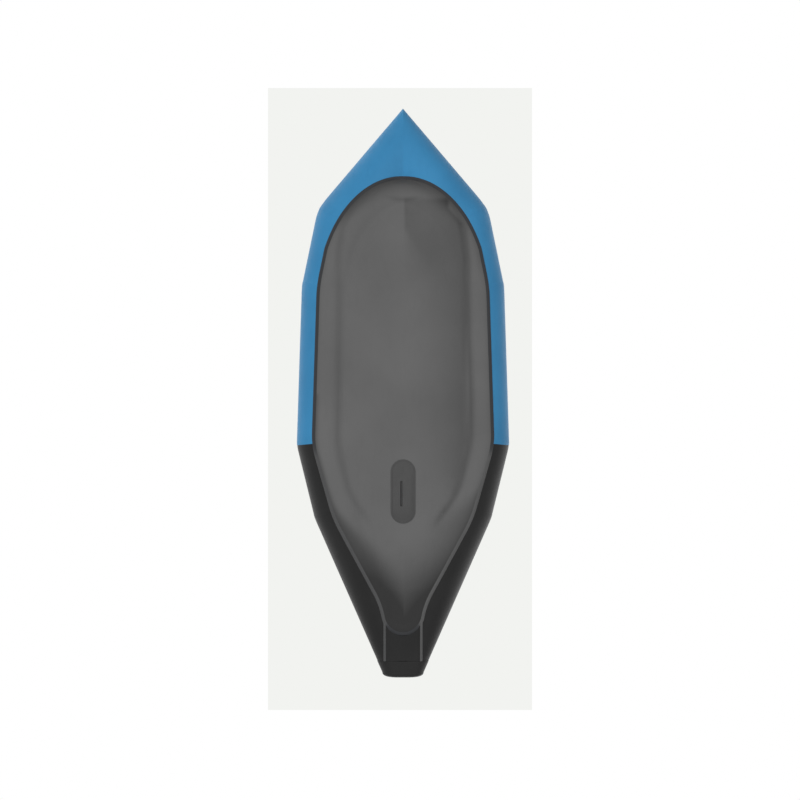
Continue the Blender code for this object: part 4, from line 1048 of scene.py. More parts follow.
@dataclass
class Floor:
    """The floor skin under the tubes, the tape over its edge, and the web behind it."""

    hull: Hull
    front: float = -0.980
    rear: float = 1.103
    rows: int = 150
    columns: int = 61
    thickness: float = 0.001
    gap: float = 0.001
    inset: float = 0.071
    quarter_inset: float = 0.084
    waist_y: float = 0.962
    waist_half: float = 0.108
    end_half: float = 0.082
    arc_length: float = 0.650
    arc_half: float = 0.402
    arc_shape: float = 2.15
    rear_arc: float = 0.080
    web_lap: float = 0.0005
    web_margin: float = 0.0015
    web_bead: float = 0.0022
    web_columns: int = 33
    web_tape_front: float = 1.035
    web_tape_steps: int = 29
    web_tape_profile: tuple = (
        (-0.007, 0.4), (-0.005, 1.6), (-0.002, 3.0), (0.001, 3.2), (0.004, 2.2), (0.007, 0.4),
    )
    rounding: float = 0.045
    tape_width: float = 0.014
    wrap: float = 0.069
    valley: float = 0.059
    valley_rise: float = 0.01304
    rim_steepness: float = 1.25
    turn_up: float = 0.360
    keel_depth: float = 0.012
    keel_lift: float = 0.006
    keel_start: float = -0.470
    keel_end: float = 0.0
    groove_depth: float = 0.008
    groove_half: float = 0.018
    groove: tuple = (
        (-0.830, 0.215), (-0.765, 0.272), (-0.600, 0.291), (0.120, 0.293), (0.220, 0.296), (0.330, 0.276),
        (0.400, 0.258), (0.445, 0.246), (0.510, 0.206), (0.570, 0.163), (0.640, 0.120),
    )
    pad_rear: float = 0.592

    def __post_init__(self) -> None:
        """Lays the seam's line, and finds how high the floor's two ends lie."""
        self.seam = self.seam_line()
        self.bow_height = self.tube_height(0.0, self.front) - self.hull.bottom - self.wrap / 4
        pinch, stern = self.hull.rings[5], self.hull.rings[6]
        share = (self.rear - pinch.centre.y) / (stern.centre.y - pinch.centre.y)
        rise = self.hull.stern.rise - self.hull.pinch_rise
        self.stern_height = self.hull.pinch_rise + rise * share
        self.halves = [(p.y, p.x) for p in self.seam]

    def seam_line(self) -> list[Vector]:
        """Half widths of the floor's seam along Y, front to rear."""
        hull = self.hull
        sides = [(self.front, value_at(hull.outline, self.front) - self.inset)]
        sides += [(b.y, b.half - self.inset) for b in (hull.shoulder, hull.fore, hull.beam)]
        sides += [(hull.quarter.y, hull.quarter.half - self.quarter_inset)]
        sides += [(self.waist_y, self.waist_half), (self.rear, self.end_half)]
        sides += [(hull.stern.y, self.end_half)]
        line = []
        for row in range(self.rows + 1):
            share = (1 - math.cos(math.pi * row / self.rows)) / 2
            y = self.front + (self.rear - self.front) * share
            around = [y + self.rounding * step / 2 for step in (-2, -1, 0, 1, 2)]
            half = sum(value_at(sides, place) for place in around) / len(around)
            ahead = 1 - (y - self.front) / self.arc_length
            if ahead > 0:
                half = min(half, self.arc_half * math.sqrt(1 - ahead**self.arc_shape))
            behind = 1 - (self.rear - y) / self.rear_arc
            if behind > 0:
                half *= math.sqrt(max(1 - behind**2, 0.0))
            line.append(Vector((half, y)))
        return line

    def drawn_in(self, inset: float) -> list[Vector]:
        """The seam line moved into the floor."""
        moved = []
        for k, point in enumerate(self.seam):
            if k in (0, len(self.seam) - 1):
                aim = Vector((0.0, 1.0 if k == 0 else -1.0))
            else:
                aim = inward(self.seam[k - 1], self.seam[k + 1])
            moved.append(point + aim * inset)
        return moved

    def tube_height(self, x: float, y: float) -> float | None:
        """The height of the tube's underside at a place, or None beside the tubes."""
        hit = self.hull.cast(Vector((x, y, -1.0)), UP)
        return hit.z if hit else None

    def under_height(self, x: float, y: float) -> float | None:
        """The tube's underside, bridged with a little hollow where the stern tubes touch."""
        tube = self.tube_height(x, y)
        start = self.hull.rings[5].centre.y + 0.05
        if tube is None or y < start:
            return tube
        places = [k * 0.006 for k in range(3, 25)]
        heights = [(self.tube_height(place, y), place) for place in places]
        bottom, at = min((height, place) for height, place in heights if height is not None)
        if abs(x) >= at:
            return tube
        bridged = bottom + 0.004 * math.cos(math.pi / 2 * x / at) ** 2
        return tube + (bridged - tube) * smooth_step((y - start) / 0.05)

    def from_seam(self, x: float, y: float) -> float:
        """How far a place lies inside the seam."""
        least = 9.0
        for first, last in zip(self.seam, self.seam[1:]):
            if abs(first.y - y) > least + 0.1:
                continue
            run_x, run_y = last.x - first.x, last.y - first.y
            off_x, off_y = abs(x) - first.x, y - first.y
            share = (off_x * run_x + off_y * run_y) / (run_x * run_x + run_y * run_y)
            share = min(max(share, 0.0), 1.0)
            least = min(least, math.hypot(off_x - run_x * share, off_y - run_y * share))
        return least

    def height(self, x: float, y: float) -> float:
        """The height of the skin's upper face, under the tubes and between them."""
        depth = self.from_seam(x, y)
        waist = (y - self.hull.beam.y) / (self.waist_y - self.hull.beam.y)
        wrap = self.wrap * (1 - min(max(waist, 0.0), 1.0))
        past = depth - wrap
        rise = self.valley_rise
        radius = self.hull.tube_radius
        if past < self.valley:
            rise = radius - math.sqrt(radius**2 - past**2)
            rise *= self.rim_steepness if past < 0 else 1.0
        else:
            half = max(value_at(self.halves, y) - wrap - self.valley, self.inset)
            fade = smooth_step((self.keel_end - y) / (self.keel_end - self.keel_start))
            edge = smooth_step((past - self.valley) / self.valley)
            out = min(abs(x) / half, 1.0)
            rise += fade * edge * (self.keel_lift * out - self.keel_depth * (1 - out))
        rise += self.groove_depth * self.in_groove(x, y, self.groove_half)
        ahead = max((self.front + self.turn_up - y) / self.turn_up, 0.0)
        behind = max((y - self.pad_rear) / (self.rear - self.pad_rear), 0.0)
        free = self.thickness + self.bow_height * ahead**2 + self.stern_height * behind**2 + rise
        tube = self.under_height(x, y)
        if tube is None:
            return free
        held = tube - self.gap
        return held + (min(held, free) - held) * smooth_step(depth / (self.inset / 2))

    def in_groove(self, x: float, y: float, half: float) -> float:
        """1 in the groove between the rim band and the middle, fading to 0 beside it."""
        ends = smooth_step((self.groove[-1][0] - y) / 0.12) * smooth_step((y + 0.86) / 0.12)
        around = [value_at(self.groove, y + step * 0.03) for step in (-1, 0, 1)]
        return ends * hump(abs(x) - sum(around) / 3, half)

    def groove_shift(self, x: float, y: float) -> float:
        """How far outside the groove's line the painted shade lies on the port side."""
        return 0.013 * hump(y - 0.05, 0.24) if x > 0 else 0.0

    def clean(self, x: float, y: float) -> float:
        """How much light is painted on the floor, from 0 where its painted shade is deepest to 1.

        Painted shade lies along the seam, most of all round the front arc, in the valley, on the
        keel's port facet, and over the rear end.
        """
        depth = self.from_seam(x, y)
        front = smooth_step((-0.70 - y) / 0.20)
        rear = smooth_step((y - 0.40) / 0.20)
        port = x > 0
        if port or y < 0.0:
            width, power = 0.013 + 0.040 * front + 0.075 * rear, 1.5
        else:
            width, power = 0.024 + 0.085 * smooth_step((y - 0.46) / 0.34), 3.0
        most = 0.60 + 0.25 * front + (0.02 if port else 0.08) * rear
        # Painted shade along the seam.
        tone = 1.0 - most * math.exp(-((depth / width) ** power))
        # Painted shade in the groove, deeper on the port side.
        tone -= (0.44 if port else 0.18) * self.in_groove(x - self.groove_shift(x, y), y, 0.016)
        # Painted shade draws a curved crease across the floor between the shoulders.
        crease = hump(y + 0.872 + 2.0 * x * x, 0.010) * smooth_step((0.10 - abs(x)) / 0.08)
        tone -= 0.25 * crease
        # Painted shade lies on the keel's port facet, between the keel and the port groove.
        facet = smooth_step(x / (0.006 + 0.30 * smooth_step((y + 0.80) / 0.45)))
        facet *= smooth_step((y + 0.89) / 0.03)
        inner = smooth_step((value_at(self.groove, y) - x) / 0.02)
        tone -= 0.27 * facet * inner * smooth_step((self.pad_rear - y) / 0.30)
        # The painted shade is darkest in a band beside the groove.
        beside = hump(value_at(self.groove, y) - x, 0.070) * inner
        tone -= 0.14 * beside * facet * smooth_step((0.52 - y) / 0.10)
        # Painted shade deepening toward the rear end.
        tone -= 0.80 * smooth_step((y - 0.64) / 0.50)
        return min(max(tone, 0.06), 1.0)

    def build(self) -> None:
        """Makes the skin and its tape."""
        edge = self.drawn_in(self.tape_width - 0.002)[1:-1]
        half = self.columns // 2
        shares = [math.sin(math.pi / 2 * k / half) for k in range(-half, half + 1)]
        rows = []
        for point in edge:
            port = [self.height(point.x * share, point.y) for share in shares[half:]]
            heights = port[:0:-1] + port
            rows.append([Vector((point.x * share, point.y, z)) for share, z in zip(shares, heights)])
        rings = [row + [p - UP * self.thickness for p in row[::-1]] for row in rows]
        mesh = skin("floor_skin", rings, caps=True, lay=level_lay)
        # The floor's colour carries painted shade along the seam, in the grooves, on the keel's port facet
        # and toward the rear.
        painted_shade_layer = mesh.attributes.new("clean", "FLOAT", "POINT")
        painted_shade_layer.data.foreach_set("value", [self.clean(v.co.x, v.co.y) for v in mesh.vertices])
        show("floor_skin", mesh, FLOOR_FABRIC, node="floor_panel", smooth=60)
        self.tape()
        self.web()

    def web(self) -> None:
        """The black web behind the floor, which closes the groove between the stern tubes."""
        half = self.end_half - self.web_margin
        last = self.hull.cap_edge + self.web_lap
        rows = []
        for step in range(25):
            row = []
            for k in range(self.web_columns):
                x = half * math.sin(math.pi / 2 * (2 * k / (self.web_columns - 1) - 1))
                arc = math.sqrt(max(1 - (x / self.end_half) ** 2, 0.0))
                first = self.rear - self.rear_arc * (1 - arc) + 0.0012
                y = first + (last - first) * step / 24
                row.append(Vector((x, y, self.under_height(x, y) - self.gap)))
            rows.append(row)
        rings = []
        for row in rows:
            beads = [self.web_bead * hump(abs(p.x) - half + 0.006, 0.004) for p in row]
            under = [p - UP * (self.thickness + bead) for p, bead in zip(row, beads)]
            rings.append(row + under[::-1])
        mesh = skin("stern_web", rings, caps=True, lay=level_lay)
        show("stern_web", mesh, BLACK_FABRIC, smooth=60)

    def web_tape(self, side: Side) -> Mesh:
        """The tape over one edge of the web, from the floor's rear corner to the cap."""
        first, last = self.web_tape_front, self.hull.cap_edge + self.web_lap
        sections = []
        for step in range(self.web_tape_steps + 1):
            y = first + (last - first) * step / self.web_tape_steps
            rise = smooth_step((step + 1) / 5)
            line = [Vector((self.end_half + out, y)) for out, depth in self.web_tape_profile]
            low = [self.under_height(p.x, y) - self.gap for p in line]
            tops = [Vector((p.x, y, z)) for p, z in zip(line, low)]
            unders = [
                Vector((p.x, y, z - 0.0002 - depth * rise * MM))
                for p, z, (out, depth) in zip(line, low, self.web_tape_profile)
            ]
            sections.append(side.mirrored(tops + unders[::-1]))
        return skin("web_tape", sections, caps=True)

    def tape(self) -> None:
        """The tape over the floor's raw edge: thin at both edges, with a ridge over the edge."""
        layers = []
        for inset, depth in ((0.0, 0.5), (0.0015, 1.3), (0.004, 2.5), (0.0065, 3.0), (0.010, 2.5),
                             (0.0135, 1.6), (0.015, 1.2)):
            layers.append((self.drawn_in(inset), depth * MM))
        sections = []
        for k in range(len(self.seam)):
            tops, unders = [], []
            for line, depth in layers:
                point = line[k]
                z = self.height(point.x, point.y)
                tops.append(Vector((point.x, point.y, z)))
                unders.append(Vector((point.x, point.y, z - depth)))
            sections.append(tops + unders[::-1])
        mirrored = [Side.STARBOARD.mirrored(section) for section in sections[-2:0:-1]]
        mesh = skin("floor_seam_tape_strip", sections + mirrored, wrap_rows=True)
        mesh = joined("floor_seam_tape_strip", [mesh] + [self.web_tape(side) for side in Side])
        # The tape carries painted light: a painted highlight, brighter on port than starboard, and painted
        # shade forward of the beam and round the rear arc.
        rubbed_and_painted_light = []
        for vertex in mesh.vertices:
            x, y, _ = vertex.co
            arc = smooth_step((y - 1.02) / 0.05) * smooth_step((0.0785 - abs(x)) / 0.006)
            wear_and_painted_highlight = 1.0 if x > 0 else 0.62
            rubbed_and_painted_light.append(wear_and_painted_highlight * smooth_step((y - self.hull.beam.y) / 0.06) * (1 - arc))
        mesh.attributes.new("clean", "FLOAT", "POINT").data.foreach_set("value", rubbed_and_painted_light)
        show("floor_seam_tape_strip", mesh, TAPE_FABRIC, node="floor_seam_tape")


@dataclass
class SkegPocket:
    """The oval patch under the floor, with the slit and the pocket for a skeg's base."""

    length: float = 0.290
    width: float = 0.112
    middle_y: float = 0.447
    top: float = 0.01274
    slit_length: float = 0.114
    slit_width: float = 0.0095
    slit_x: float = -0.007
    slit_y: float = 0.457

    def oval(self, length: float, width: float, x: float, y: float, z: float) -> list[Vector]:
        """Points of a level outline with straight sides along Y and round ends."""
        radius, straight = width / 2, length / 2 - width / 2
        points = []
        for end in (1.0, -1.0):
            for k in range(25):
                t = math.pi * k / 24
                across, along = end * radius * math.cos(t), end * (straight + radius * math.sin(t))
                points.append(Vector((x + across, y + along, z)))
        return points

    def ring(self, share: float, drop: float) -> list[Vector]:
        """An outline between the patch's edge and the slit, with its depth in millimetres."""
        outer = self.oval(self.length, self.width, 0.0, self.middle_y, 0.0)
        inner = self.oval(self.slit_length, self.slit_width, self.slit_x, self.slit_y, 0.0)
        ring = [a.lerp(b, share) for a, b in zip(outer, inner)]
        return [Vector((p.x, p.y, self.top - drop * MM)) for p in ring]

    def build(self) -> None:
        """Makes the patch with its welded rim, its swell and the slit's lips."""
        profile = (
            (0.0, 0.0), (0.0, 1.2), (0.02, 1.8), (0.10, 2.0), (0.18, 2.1), (0.22, 3.2), (0.30, 5.6),
            (0.45, 7.4), (0.62, 8.2), (0.80, 8.5), (0.88, 8.7), (0.92, 9.4), (0.96, 9.5),
            (0.99, 9.1), (1.0, 8.2), (1.0, 5.0),
        )
        rings = [self.ring(share, drop) for share, drop in profile]
        roof = self.oval(self.slit_length - 0.004, self.slit_width - 0.004, self.slit_x, self.slit_y, 0)
        rings.append([Vector((p.x, p.y, self.top - 1.4 * MM)) for p in roof])
        mesh = skin("skeg_pocket_patch", rings, caps=True, lay=level_lay)
        show("skeg_pocket_patch", mesh, POCKET_FABRIC, node="skeg_pocket", smooth=60)
        seams = self.oval(self.length - 0.014, self.width - 0.014, 0, self.middle_y, self.top - 2.1 * MM)
        pairs = zip(seams, seams[1:] + seams[:1])
        thread = stitches("skeg_pocket_thread", pairs, -UP, 3.6)
        show("skeg_pocket_thread", thread, BLACK_WEBBING)


# Tie-downs and handles


@dataclass
class Patches:
    """Patches that lie on the hull, and what is fixed to them."""

    hull: Hull
    boot_height: float = 0.003
    edge: float = 0.0012
    web_half: float = 0.0125
    web_thickness: float = 0.0016
    foot: float = 0.016
    loop_gap: float = 0.0005
    ease: float = 0.22
    seam_rows: tuple[float, float] = (0.0085, 0.0140)
    seam_edge: float = 0.003

    def draped(
        self, name: str, frame: Matrix, size: tuple[float, float], flat: float, bore: float = 0.0,
        squareness: float = 2.0,
    ) -> Mesh:
        """A patch in its own frame: it follows the hull below, and is level on top out to flat.

        Args:
            name: The mesh's name.
            frame: The patch's frame.
            size: Its half sizes along X and Y.
            flat: The share of its size that is level.
            bore: The radius of its hole.
            squareness: 2 for an ellipse, and more for a square with round corners.

        Returns:
            The mesh.
        """
        inverse = frame.inverted()
        down = -frame.col[2].to_3d()
        sides = 64
        start = bore / min(size) if bore else 0.02
        shares = [start + (1 - start) * k / 14 for k in range(15)] + [1.0]
        tops, unders = [], []
        for number, share in enumerate(shares):
            top, under = [], []
            for t in turns_of(sides):
                c, s = math.cos(t), math.sin(t)
                reach = square_reach(c, s, squareness)
                x, y = (bore * c, bore * s) if bore and number == 0 else (
                    share * size[0] * reach * c, share * size[1] * reach * s)
                hit = self.hull.cast(frame @ Vector((x, y, 0.05)), down)
                low = (inverse @ hit).z if hit else 0.0
                level = smooth_step((flat + self.ease - share) / self.ease)
                rim = self.edge * (0.4 if number == len(shares) - 1 else 1.0)
                high = max(low + rim + (self.boot_height - low - rim) * level, low + rim)
                top.append(Vector((x, y, high)))
                under.append(Vector((x, y, low + 0.0002)))
            tops.append(top)
            unders.append(under)
        return skin(name, unders + tops[::-1], wrap_rows=bool(bore), caps=not bore)

    def lift(self, wire: float) -> float:
        """How far a bar's axis lies above a patch's frame."""
        return self.boot_height + wire + self.loop_gap

    def web_loop(self, name: str, wire: float) -> Mesh:
        """A webbing tunnel over a bar along X, sewn down on a patch's level top."""
        inner = wire + self.loop_gap + self.web_thickness / 2
        low = self.boot_height + self.web_thickness / 2
        centre = self.lift(wire)
        turns = [math.pi * k / 14 for k in range(15)]
        line = [(self.foot, low), (self.foot * 0.75, low), (inner + 0.0008, low)]
        line += [(inner * math.cos(t), centre + inner * math.sin(t)) for t in turns if t > 0.0]
        line = line[:-1] + [(-inner - 0.0008, low), (-self.foot * 0.75, low), (-self.foot, low)]
        edges = [(Vector((-self.web_half, y, z)), Vector((self.web_half, y, z))) for y, z in line]
        return ribbon(name, edges, self.web_thickness)

    def sewn(self, name: str) -> Mesh:
        """The thread that holds a loop's two feet."""
        z = self.boot_height + self.web_thickness
        seams = []
        for end in (1.0, -1.0):
            for y in self.seam_rows:
                left = Vector((-self.web_half + self.seam_edge, end * y, z))
                seams.append((left, Vector((-left.x, end * y, z))))
            for x in (-self.web_half + self.seam_edge, self.web_half - self.seam_edge):
                seams.append(tuple(Vector((x, end * y, z)) for y in self.seam_rows))
        return stitches(name, seams, UP, 2.6)

    def fixed(self, name: str, frame: Matrix, size: tuple[float, float], wire: float) -> None:
        """Shows a patch with its loop and its thread."""
        base = self.draped(name, frame, size, 0.6, squareness=2.6)
        show(f"{name}_base", base, BLACK_FABRIC, frame, node=name)
        show(f"{name}_web", self.web_loop("web", wire), BLACK_WEBBING, frame)
        show(f"{name}_thread", self.sewn("thread"), BLACK_WEBBING, frame)


def bow_path(half_width: float, reach: float, corner: float, count: int = 56) -> list[Vector]:
    """The closed path of a bar along X with a round bow toward +Y.

    Args:
        half_width: Half the bow's width.
        reach: How far the bow reaches from the bar.
        corner: The radius of the corners at the bar's ends.
        count: How many points the bow has.

    Returns:
        The path's points.
    """
    points = []
    for k in range(count + 1):
        t = math.pi * k / count
        height = corner + (reach - corner) * max(math.sin(t), 0.0) ** 0.8
        points.append(Vector((half_width * math.cos(t), height, 0.0)))
    for end in (-1.0, 1.0):
        bends = [math.pi / 2 * k / 6 for k in range(1, 7)]
        backs = [(1 - math.cos(bend), 1 - math.sin(bend)) for bend in bends]
        if end < 0:
            turn = [(-half_width + corner * a, corner * b) for a, b in backs]
        else:
            turn = [(half_width - corner * b, corner * a) for a, b in backs[:-1]]
        points += [Vector((x, y, 0.0)) for x, y in turn]
        if end < 0:
            flat = half_width - corner
            points += [Vector((flat * (k / 4 - 1), 0.0, 0.0)) for k in range(1, 9)]
    return points


@dataclass
class TiePoints:
    """Six D-rings on the tubes' crown, and a carry handle at each end."""

    hull: Hull
    patches: Patches
    ring_wire: float = 0.0025
    ring_half: float = 0.022
    ring_reach: float = 0.034
    ring_corner: float = 0.005
    ring_tilt: float = math.radians(14)
    ring_weld: float = 0.00035
    patch: tuple[float, float] = (0.034, 0.044)
    places: tuple = (("bow", 0, 0.55), ("fore", 1, 0.50), ("stern", 4, 0.60))
    handle_wire: float = 0.0035
    handle_grip: float = 0.0075
    handle_half: float = 0.055
    handle_reach: float = 0.062
    handle_corner: float = 0.018
    handle_tilt: float = math.radians(26)
    sleeve_end: float = 0.0042
    sleeve_groove: float = 0.0007
    bow_slope: float = math.radians(9.78)
    stern_slope: float = math.radians(7.63)

    def build(self, joints: dict[str, Vector]) -> None:
        """Makes every tie point.

        Args:
            joints: Where each joint's axis passes.
        """
        for place, index, share in self.places:
            for side in Side:
                name = f"{place}_d_ring_{side.word}"
                frame = self.hull.crown_frame(index, share, side)
                self.patches.fixed(f"{name}_patch", frame, self.patch, self.ring_wire)
                self.d_ring(name, frame)
        slopes = (
            ("bow_handle", Matrix.Rotation(self.bow_slope, 4, "X"), (0.046, 0.042)),
            (
                "stern_handle",
                Matrix.Rotation(math.pi, 4, "Z") @ Matrix.Rotation(self.stern_slope, 4, "X"),
                (0.036, 0.024),
            ),
        )
        lift = self.patches.lift(self.handle_wire)
        for name, turn, size in slopes:
            axis = Matrix.Translation(joints[f"{name}_swing"]) @ turn
            frame = axis @ Matrix.Translation((0.0, 0.0, -lift))
            self.patches.fixed(f"{name}_patch", frame, size, self.handle_wire)
            self.handle(name, axis @ Matrix.Rotation(self.handle_tilt, 4, "X"))

    def d_ring(self, name: str, frame: Matrix) -> None:
        """A ring bent from wire, with the butt weld on its straight side."""
        path = bow_path(self.ring_half, self.ring_reach, self.ring_corner)
        middle = len(path) - 9
        radii = [self.ring_wire + self.ring_weld * hump(k - middle, 0.9) for k in range(len(path))]
        lift = self.patches.lift(self.ring_wire)
        tilt = Matrix.Translation((0.0, 0.0, lift)) @ Matrix.Rotation(self.ring_tilt, 4, "X")
        mesh = sweep(name, path, radii, 18, closed=True)
        show(f"{name}_wire", mesh, STEEL_WIRE, frame @ tilt, body=name, node=name)

    def handle(self, name: str, frame: Matrix) -> None:
        """A handle of round webbing with a ribbed rubber sleeve."""
        path = bow_path(self.handle_half, self.handle_reach, self.handle_corner, 72)
        mesh = sweep(name, path, [self.handle_wire] * len(path), 18, closed=True)
        show(f"{name}_web", mesh, BLACK_WEBBING, frame, body=name, node=name)
        bow = [p for p in path[:73] if abs(p.x) < self.handle_half * 0.66]
        fine = [a.lerp(b, k / 6) for a, b in zip(bow, bow[1:]) for k in range(6)] + [bow[-1]]
        radii = []
        for k in range(len(fine)):
            end = min(k, len(fine) - 1 - k)
            swell = smooth_step((end + 1) / 9)
            wave = 0.5 - 0.5 * math.cos(k * math.tau / 12)
            groove = self.sleeve_groove * wave if end > 12 else 0.0
            radii.append(self.sleeve_end + (self.handle_grip - self.sleeve_end) * swell - groove)
        grip = sweep(f"{name}_grip", fine, radii, 20)
        show(f"{name}_grip", grip, GRIP_RUBBER, frame, body=name)


# Valves


@dataclass
class MainValve:
    """The main inflation valve. Its profiles are in millimetres above the tube's crown."""

    hull: Hull
    patches: Patches
    boot: float = 0.042
    pin_y: float = 0.0265
    pin_z: float = 0.0097
    spring_coils: int = 5
    spring_steps: int = 28

    def build(self) -> None:
        """Makes the boot, the body, the poppet with its seal and spring, the nut and the cap."""
        frame = self.hull.crown_frame(3, self.hull.valve_holes[0][0], Side.PORT)
        boot = self.patches.draped("boot", frame, (self.boot, self.boot), 0.667, 0.0173)
        show("valve_boot_skin", boot, BLACK_FABRIC, frame, node="valve_boot")
        self.body(frame)
        self.poppet(frame)
        nut = [(17.3, -11.7), (25.0, -11.7), (25.0, -5.8), (17.3, -5.8)]
        mesh = turned("nut", nut, 96, ripple=lambda t, z: -0.0012 * max(math.cos(12 * t), 0) ** 4)
        show("valve_nut_moulding", mesh, BLACK_NYLON, frame, node="valve_nut")
        self.leash(frame)
        self.cap(frame)

    def body(self, frame: Matrix) -> None:
        """The threaded neck with its flange, the valve seat and the spider."""
        profile = [(11.0, -24.0), (16.4, -24.0), (17.0, -23.4), (17.0, 3.3), (26.0, 3.3), (26.5, 3.6),
                   (26.5, 5.0), (25.7, 5.8), (17.0, 5.8)]
        for k in range(4):
            z = 8.6 + 1.4 * k
            profile += [(16.2, z - 0.5), (16.95, z), (16.2, z + 0.5)]
        profile += [(16.2, 13.6), (15.8, 14.0), (14.0, 14.0), (13.5, 13.5), (13.5, -22.0), (11.0, -22.0)]
        meshes = [turned("neck", profile, 96)]
        for number in (0, 1):
            arm = block("arm", (27.2 * MM, 3 * MM, 3 * MM), (0, 0, -12.5 * MM), 0.5 * MM)
            arm.transform(Matrix.Rotation(number * math.pi / 2, 4, "Z"))
            meshes.append(arm)
        hub = [(3.0, -14.0), (5.6, -14.0), (6.0, -13.6), (6.0, -11.4), (5.6, -11.0), (3.0, -11.0)]
        meshes.append(turned("hub", hub, 48))
        show("valve_body_moulding", joined("valve_body", meshes), BLACK_NYLON, frame, node="valve_body")

    def poppet(self, frame: Matrix) -> None:
        """The stem with its button and its closing disc, the seal, and the spring."""
        profile = [(12.4, -28.7), (13.0, -28.2), (13.0, -26.5), (12.6, -26.1), (3.4, -26.1), (2.7, -25.4),
                   (2.7, 4.6), (3.2, 5.0), (5.2, 5.0), (5.8, 5.5), (5.8, 8.2), (5.2, 8.8), (4.0, 9.0),
                   (2.0, 8.5)]
        mesh = turned("poppet", profile, 48, bored=False)
        show("valve_poppet_stem", mesh, GREY_NYLON, frame, body="valve_poppet", node="valve_poppet")
        seal = [(11.0, -25.7), (12.8, -25.8), (13.0, -25.3), (12.8, -24.4), (11.0, -24.3)]
        mesh = turned("seal", seal)
        show("valve_seal_ring", mesh, RED_RUBBER, frame, body="valve_poppet", node="valve_seal")
        wire, radius, low, high = (size * MM for size in (0.5, 3.8, -10.2, 4.2))
        count = self.spring_coils * self.spring_steps
        path = []
        for k in range(count + 1):
            turn = math.tau * k / self.spring_steps
            x, y = radius * math.cos(turn), radius * math.sin(turn)
            path.append(Vector((x, y, low + (high - low) * k / count)))
        mesh = sweep("spring", path, [wire] * len(path), 10)
        spring = show("valve_spring_wire", mesh, STEEL_WIRE, frame, node="valve_spring")
        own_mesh(spring)

    def on_pin(self, mesh: Mesh, x: float = 0.0) -> Mesh:
        """Lays a turned form along the axis of the cap's hinge pin."""
        turn = Matrix.Rotation(math.pi / 2, 4, "Y")
        mesh.transform(Matrix.Translation((x, self.pin_y, self.pin_z)) @ turn)
        return mesh

    def leash(self, frame: Matrix) -> None:
        """The ring that holds the cap's hinge pin."""
        ring = [(17.3, 6.1), (19.7, 6.1), (20.0, 6.4), (20.0, 7.8), (19.7, 8.1), (17.3, 8.1)]
        meshes = [turned("ring", ring, 96)]
        for end in (1.0, -1.0):
            web = block("web", (3 * MM, 8.5 * MM, 2 * MM), (end * 5 * MM, 22.3 * MM, 7.1 * MM), 0.4 * MM)
            ear = turned("ear", [(2.0, -1.5), (2.6, -1.1), (2.6, 1.1), (2.0, 1.5)], 32, bored=False)
            meshes += [web, self.on_pin(ear, end * 5 * MM)]
        meshes.append(self.on_pin(turned("pin", [(1.2, -5.2), (1.2, 5.2)], 24, bored=False)))
        show("valve_leash_moulding", joined("leash", meshes), GREY_NYLON, frame, node="valve_leash_ring")

    def cap(self, frame: Matrix) -> None:
        """The screw cap with its finger ribs, and the tongue that hinges it."""
        profile = [(5.0, 14.3), (16.9, 14.3), (17.3, 13.8), (17.3, 8.4), (20.2, 8.4), (20.5, 8.9),
                   (20.5, 15.0), (20.1, 16.1), (19.2, 16.7), (16.5, 16.8), (15.6, 16.2), (14.8, 16.1),
                   (4.0, 16.1)]

        def ribs(turn: float, height: float) -> float:
            """The grooves between the finger ribs, on the outer wall alone."""
            deep = 0.0007 * max(math.cos(30 * turn), 0.0) ** 2
            return -deep if 0.0088 < height < 0.0151 else 0.0

        meshes = [turned("cap", profile, 240, bored=False, ripple=ribs)]
        grip = block("grip", (24 * MM, 3.2 * MM, 1.8 * MM), (0, 0, 16.4 * MM), 0.7 * MM)
        tongue = block("tongue", (6.0 * MM, 6.6 * MM, 2.4 * MM), (0, 21.6 * MM, 9.9 * MM), 0.5 * MM)
        eye = self.on_pin(turned("eye", [(1.5, -3.2), (2.6, -3.2), (2.6, 3.2), (1.5, 3.2)], 32))
        mesh = joined("cap", meshes + [grip, tongue, eye])
        show("valve_cap_moulding", mesh, GREY_NYLON, frame, body="valve_cap", node="valve_cap")


@dataclass
class MouthValve:
    """The small valve for topping up by mouth, in millimetres above the crown."""

    hull: Hull
    patches: Patches
    boot: float = 0.030

    def build(self) -> None:
        """Makes the boot, the stem, and the twist tip with its ribs and its two wings."""
        frame = self.hull.crown_frame(3, self.hull.valve_holes[1][0], Side.PORT)
        boot = self.patches.draped("boot", frame, (self.boot, self.boot), 0.53, 0.0063)
        show("mouth_valve_boot_skin", boot, BLACK_FABRIC, frame, node="mouth_valve_boot")
        stem = [(3.4, -12.0), (5.6, -12.0), (6.0, -11.6), (6.0, 3.3), (13.1, 3.3), (13.5, 3.7), (13.5, 4.8),
                (13.0, 5.3), (7.0, 5.3), (6.0, 6.0), (6.0, 25.6), (5.6, 26.0), (3.8, 26.0), (3.4, 25.6)]
        show("mouth_valve_stem_moulding", turned("stem", stem), BLACK_NYLON, frame,
             node="mouth_valve_stem")
        tip = [(6.3, 8.0), (8.7, 8.0), (9.0, 8.4)]
        tip += [(9.0 - 0.35 * (k % 2), 9.5 + 1.1 * k) for k in range(14)]
        tip += [(9.0, 25.2), (8.4, 26.6), (7.2, 28.6), (6.4, 30.0), (5.4, 30.3), (3.4, 30.3), (3.4, 26.4),
                (6.3, 26.3)]

        def wings(turn: float, height: float) -> float:
            """Two wings that stand out of the tip's wall."""
            rise = smooth_step((0.0165 - height) / 0.004) * smooth_step((height - 0.0079) / 0.0008)
            return 0.004 * rise * max(abs(math.cos(turn)), 0.0) ** 24

        mesh = turned("tip", tip, 144, ripple=wings)
        show("mouth_valve_tip_moulding", mesh, GREY_NYLON, frame, body="mouth_valve_tip",
             node="mouth_valve_tip")


# Seat and backrest


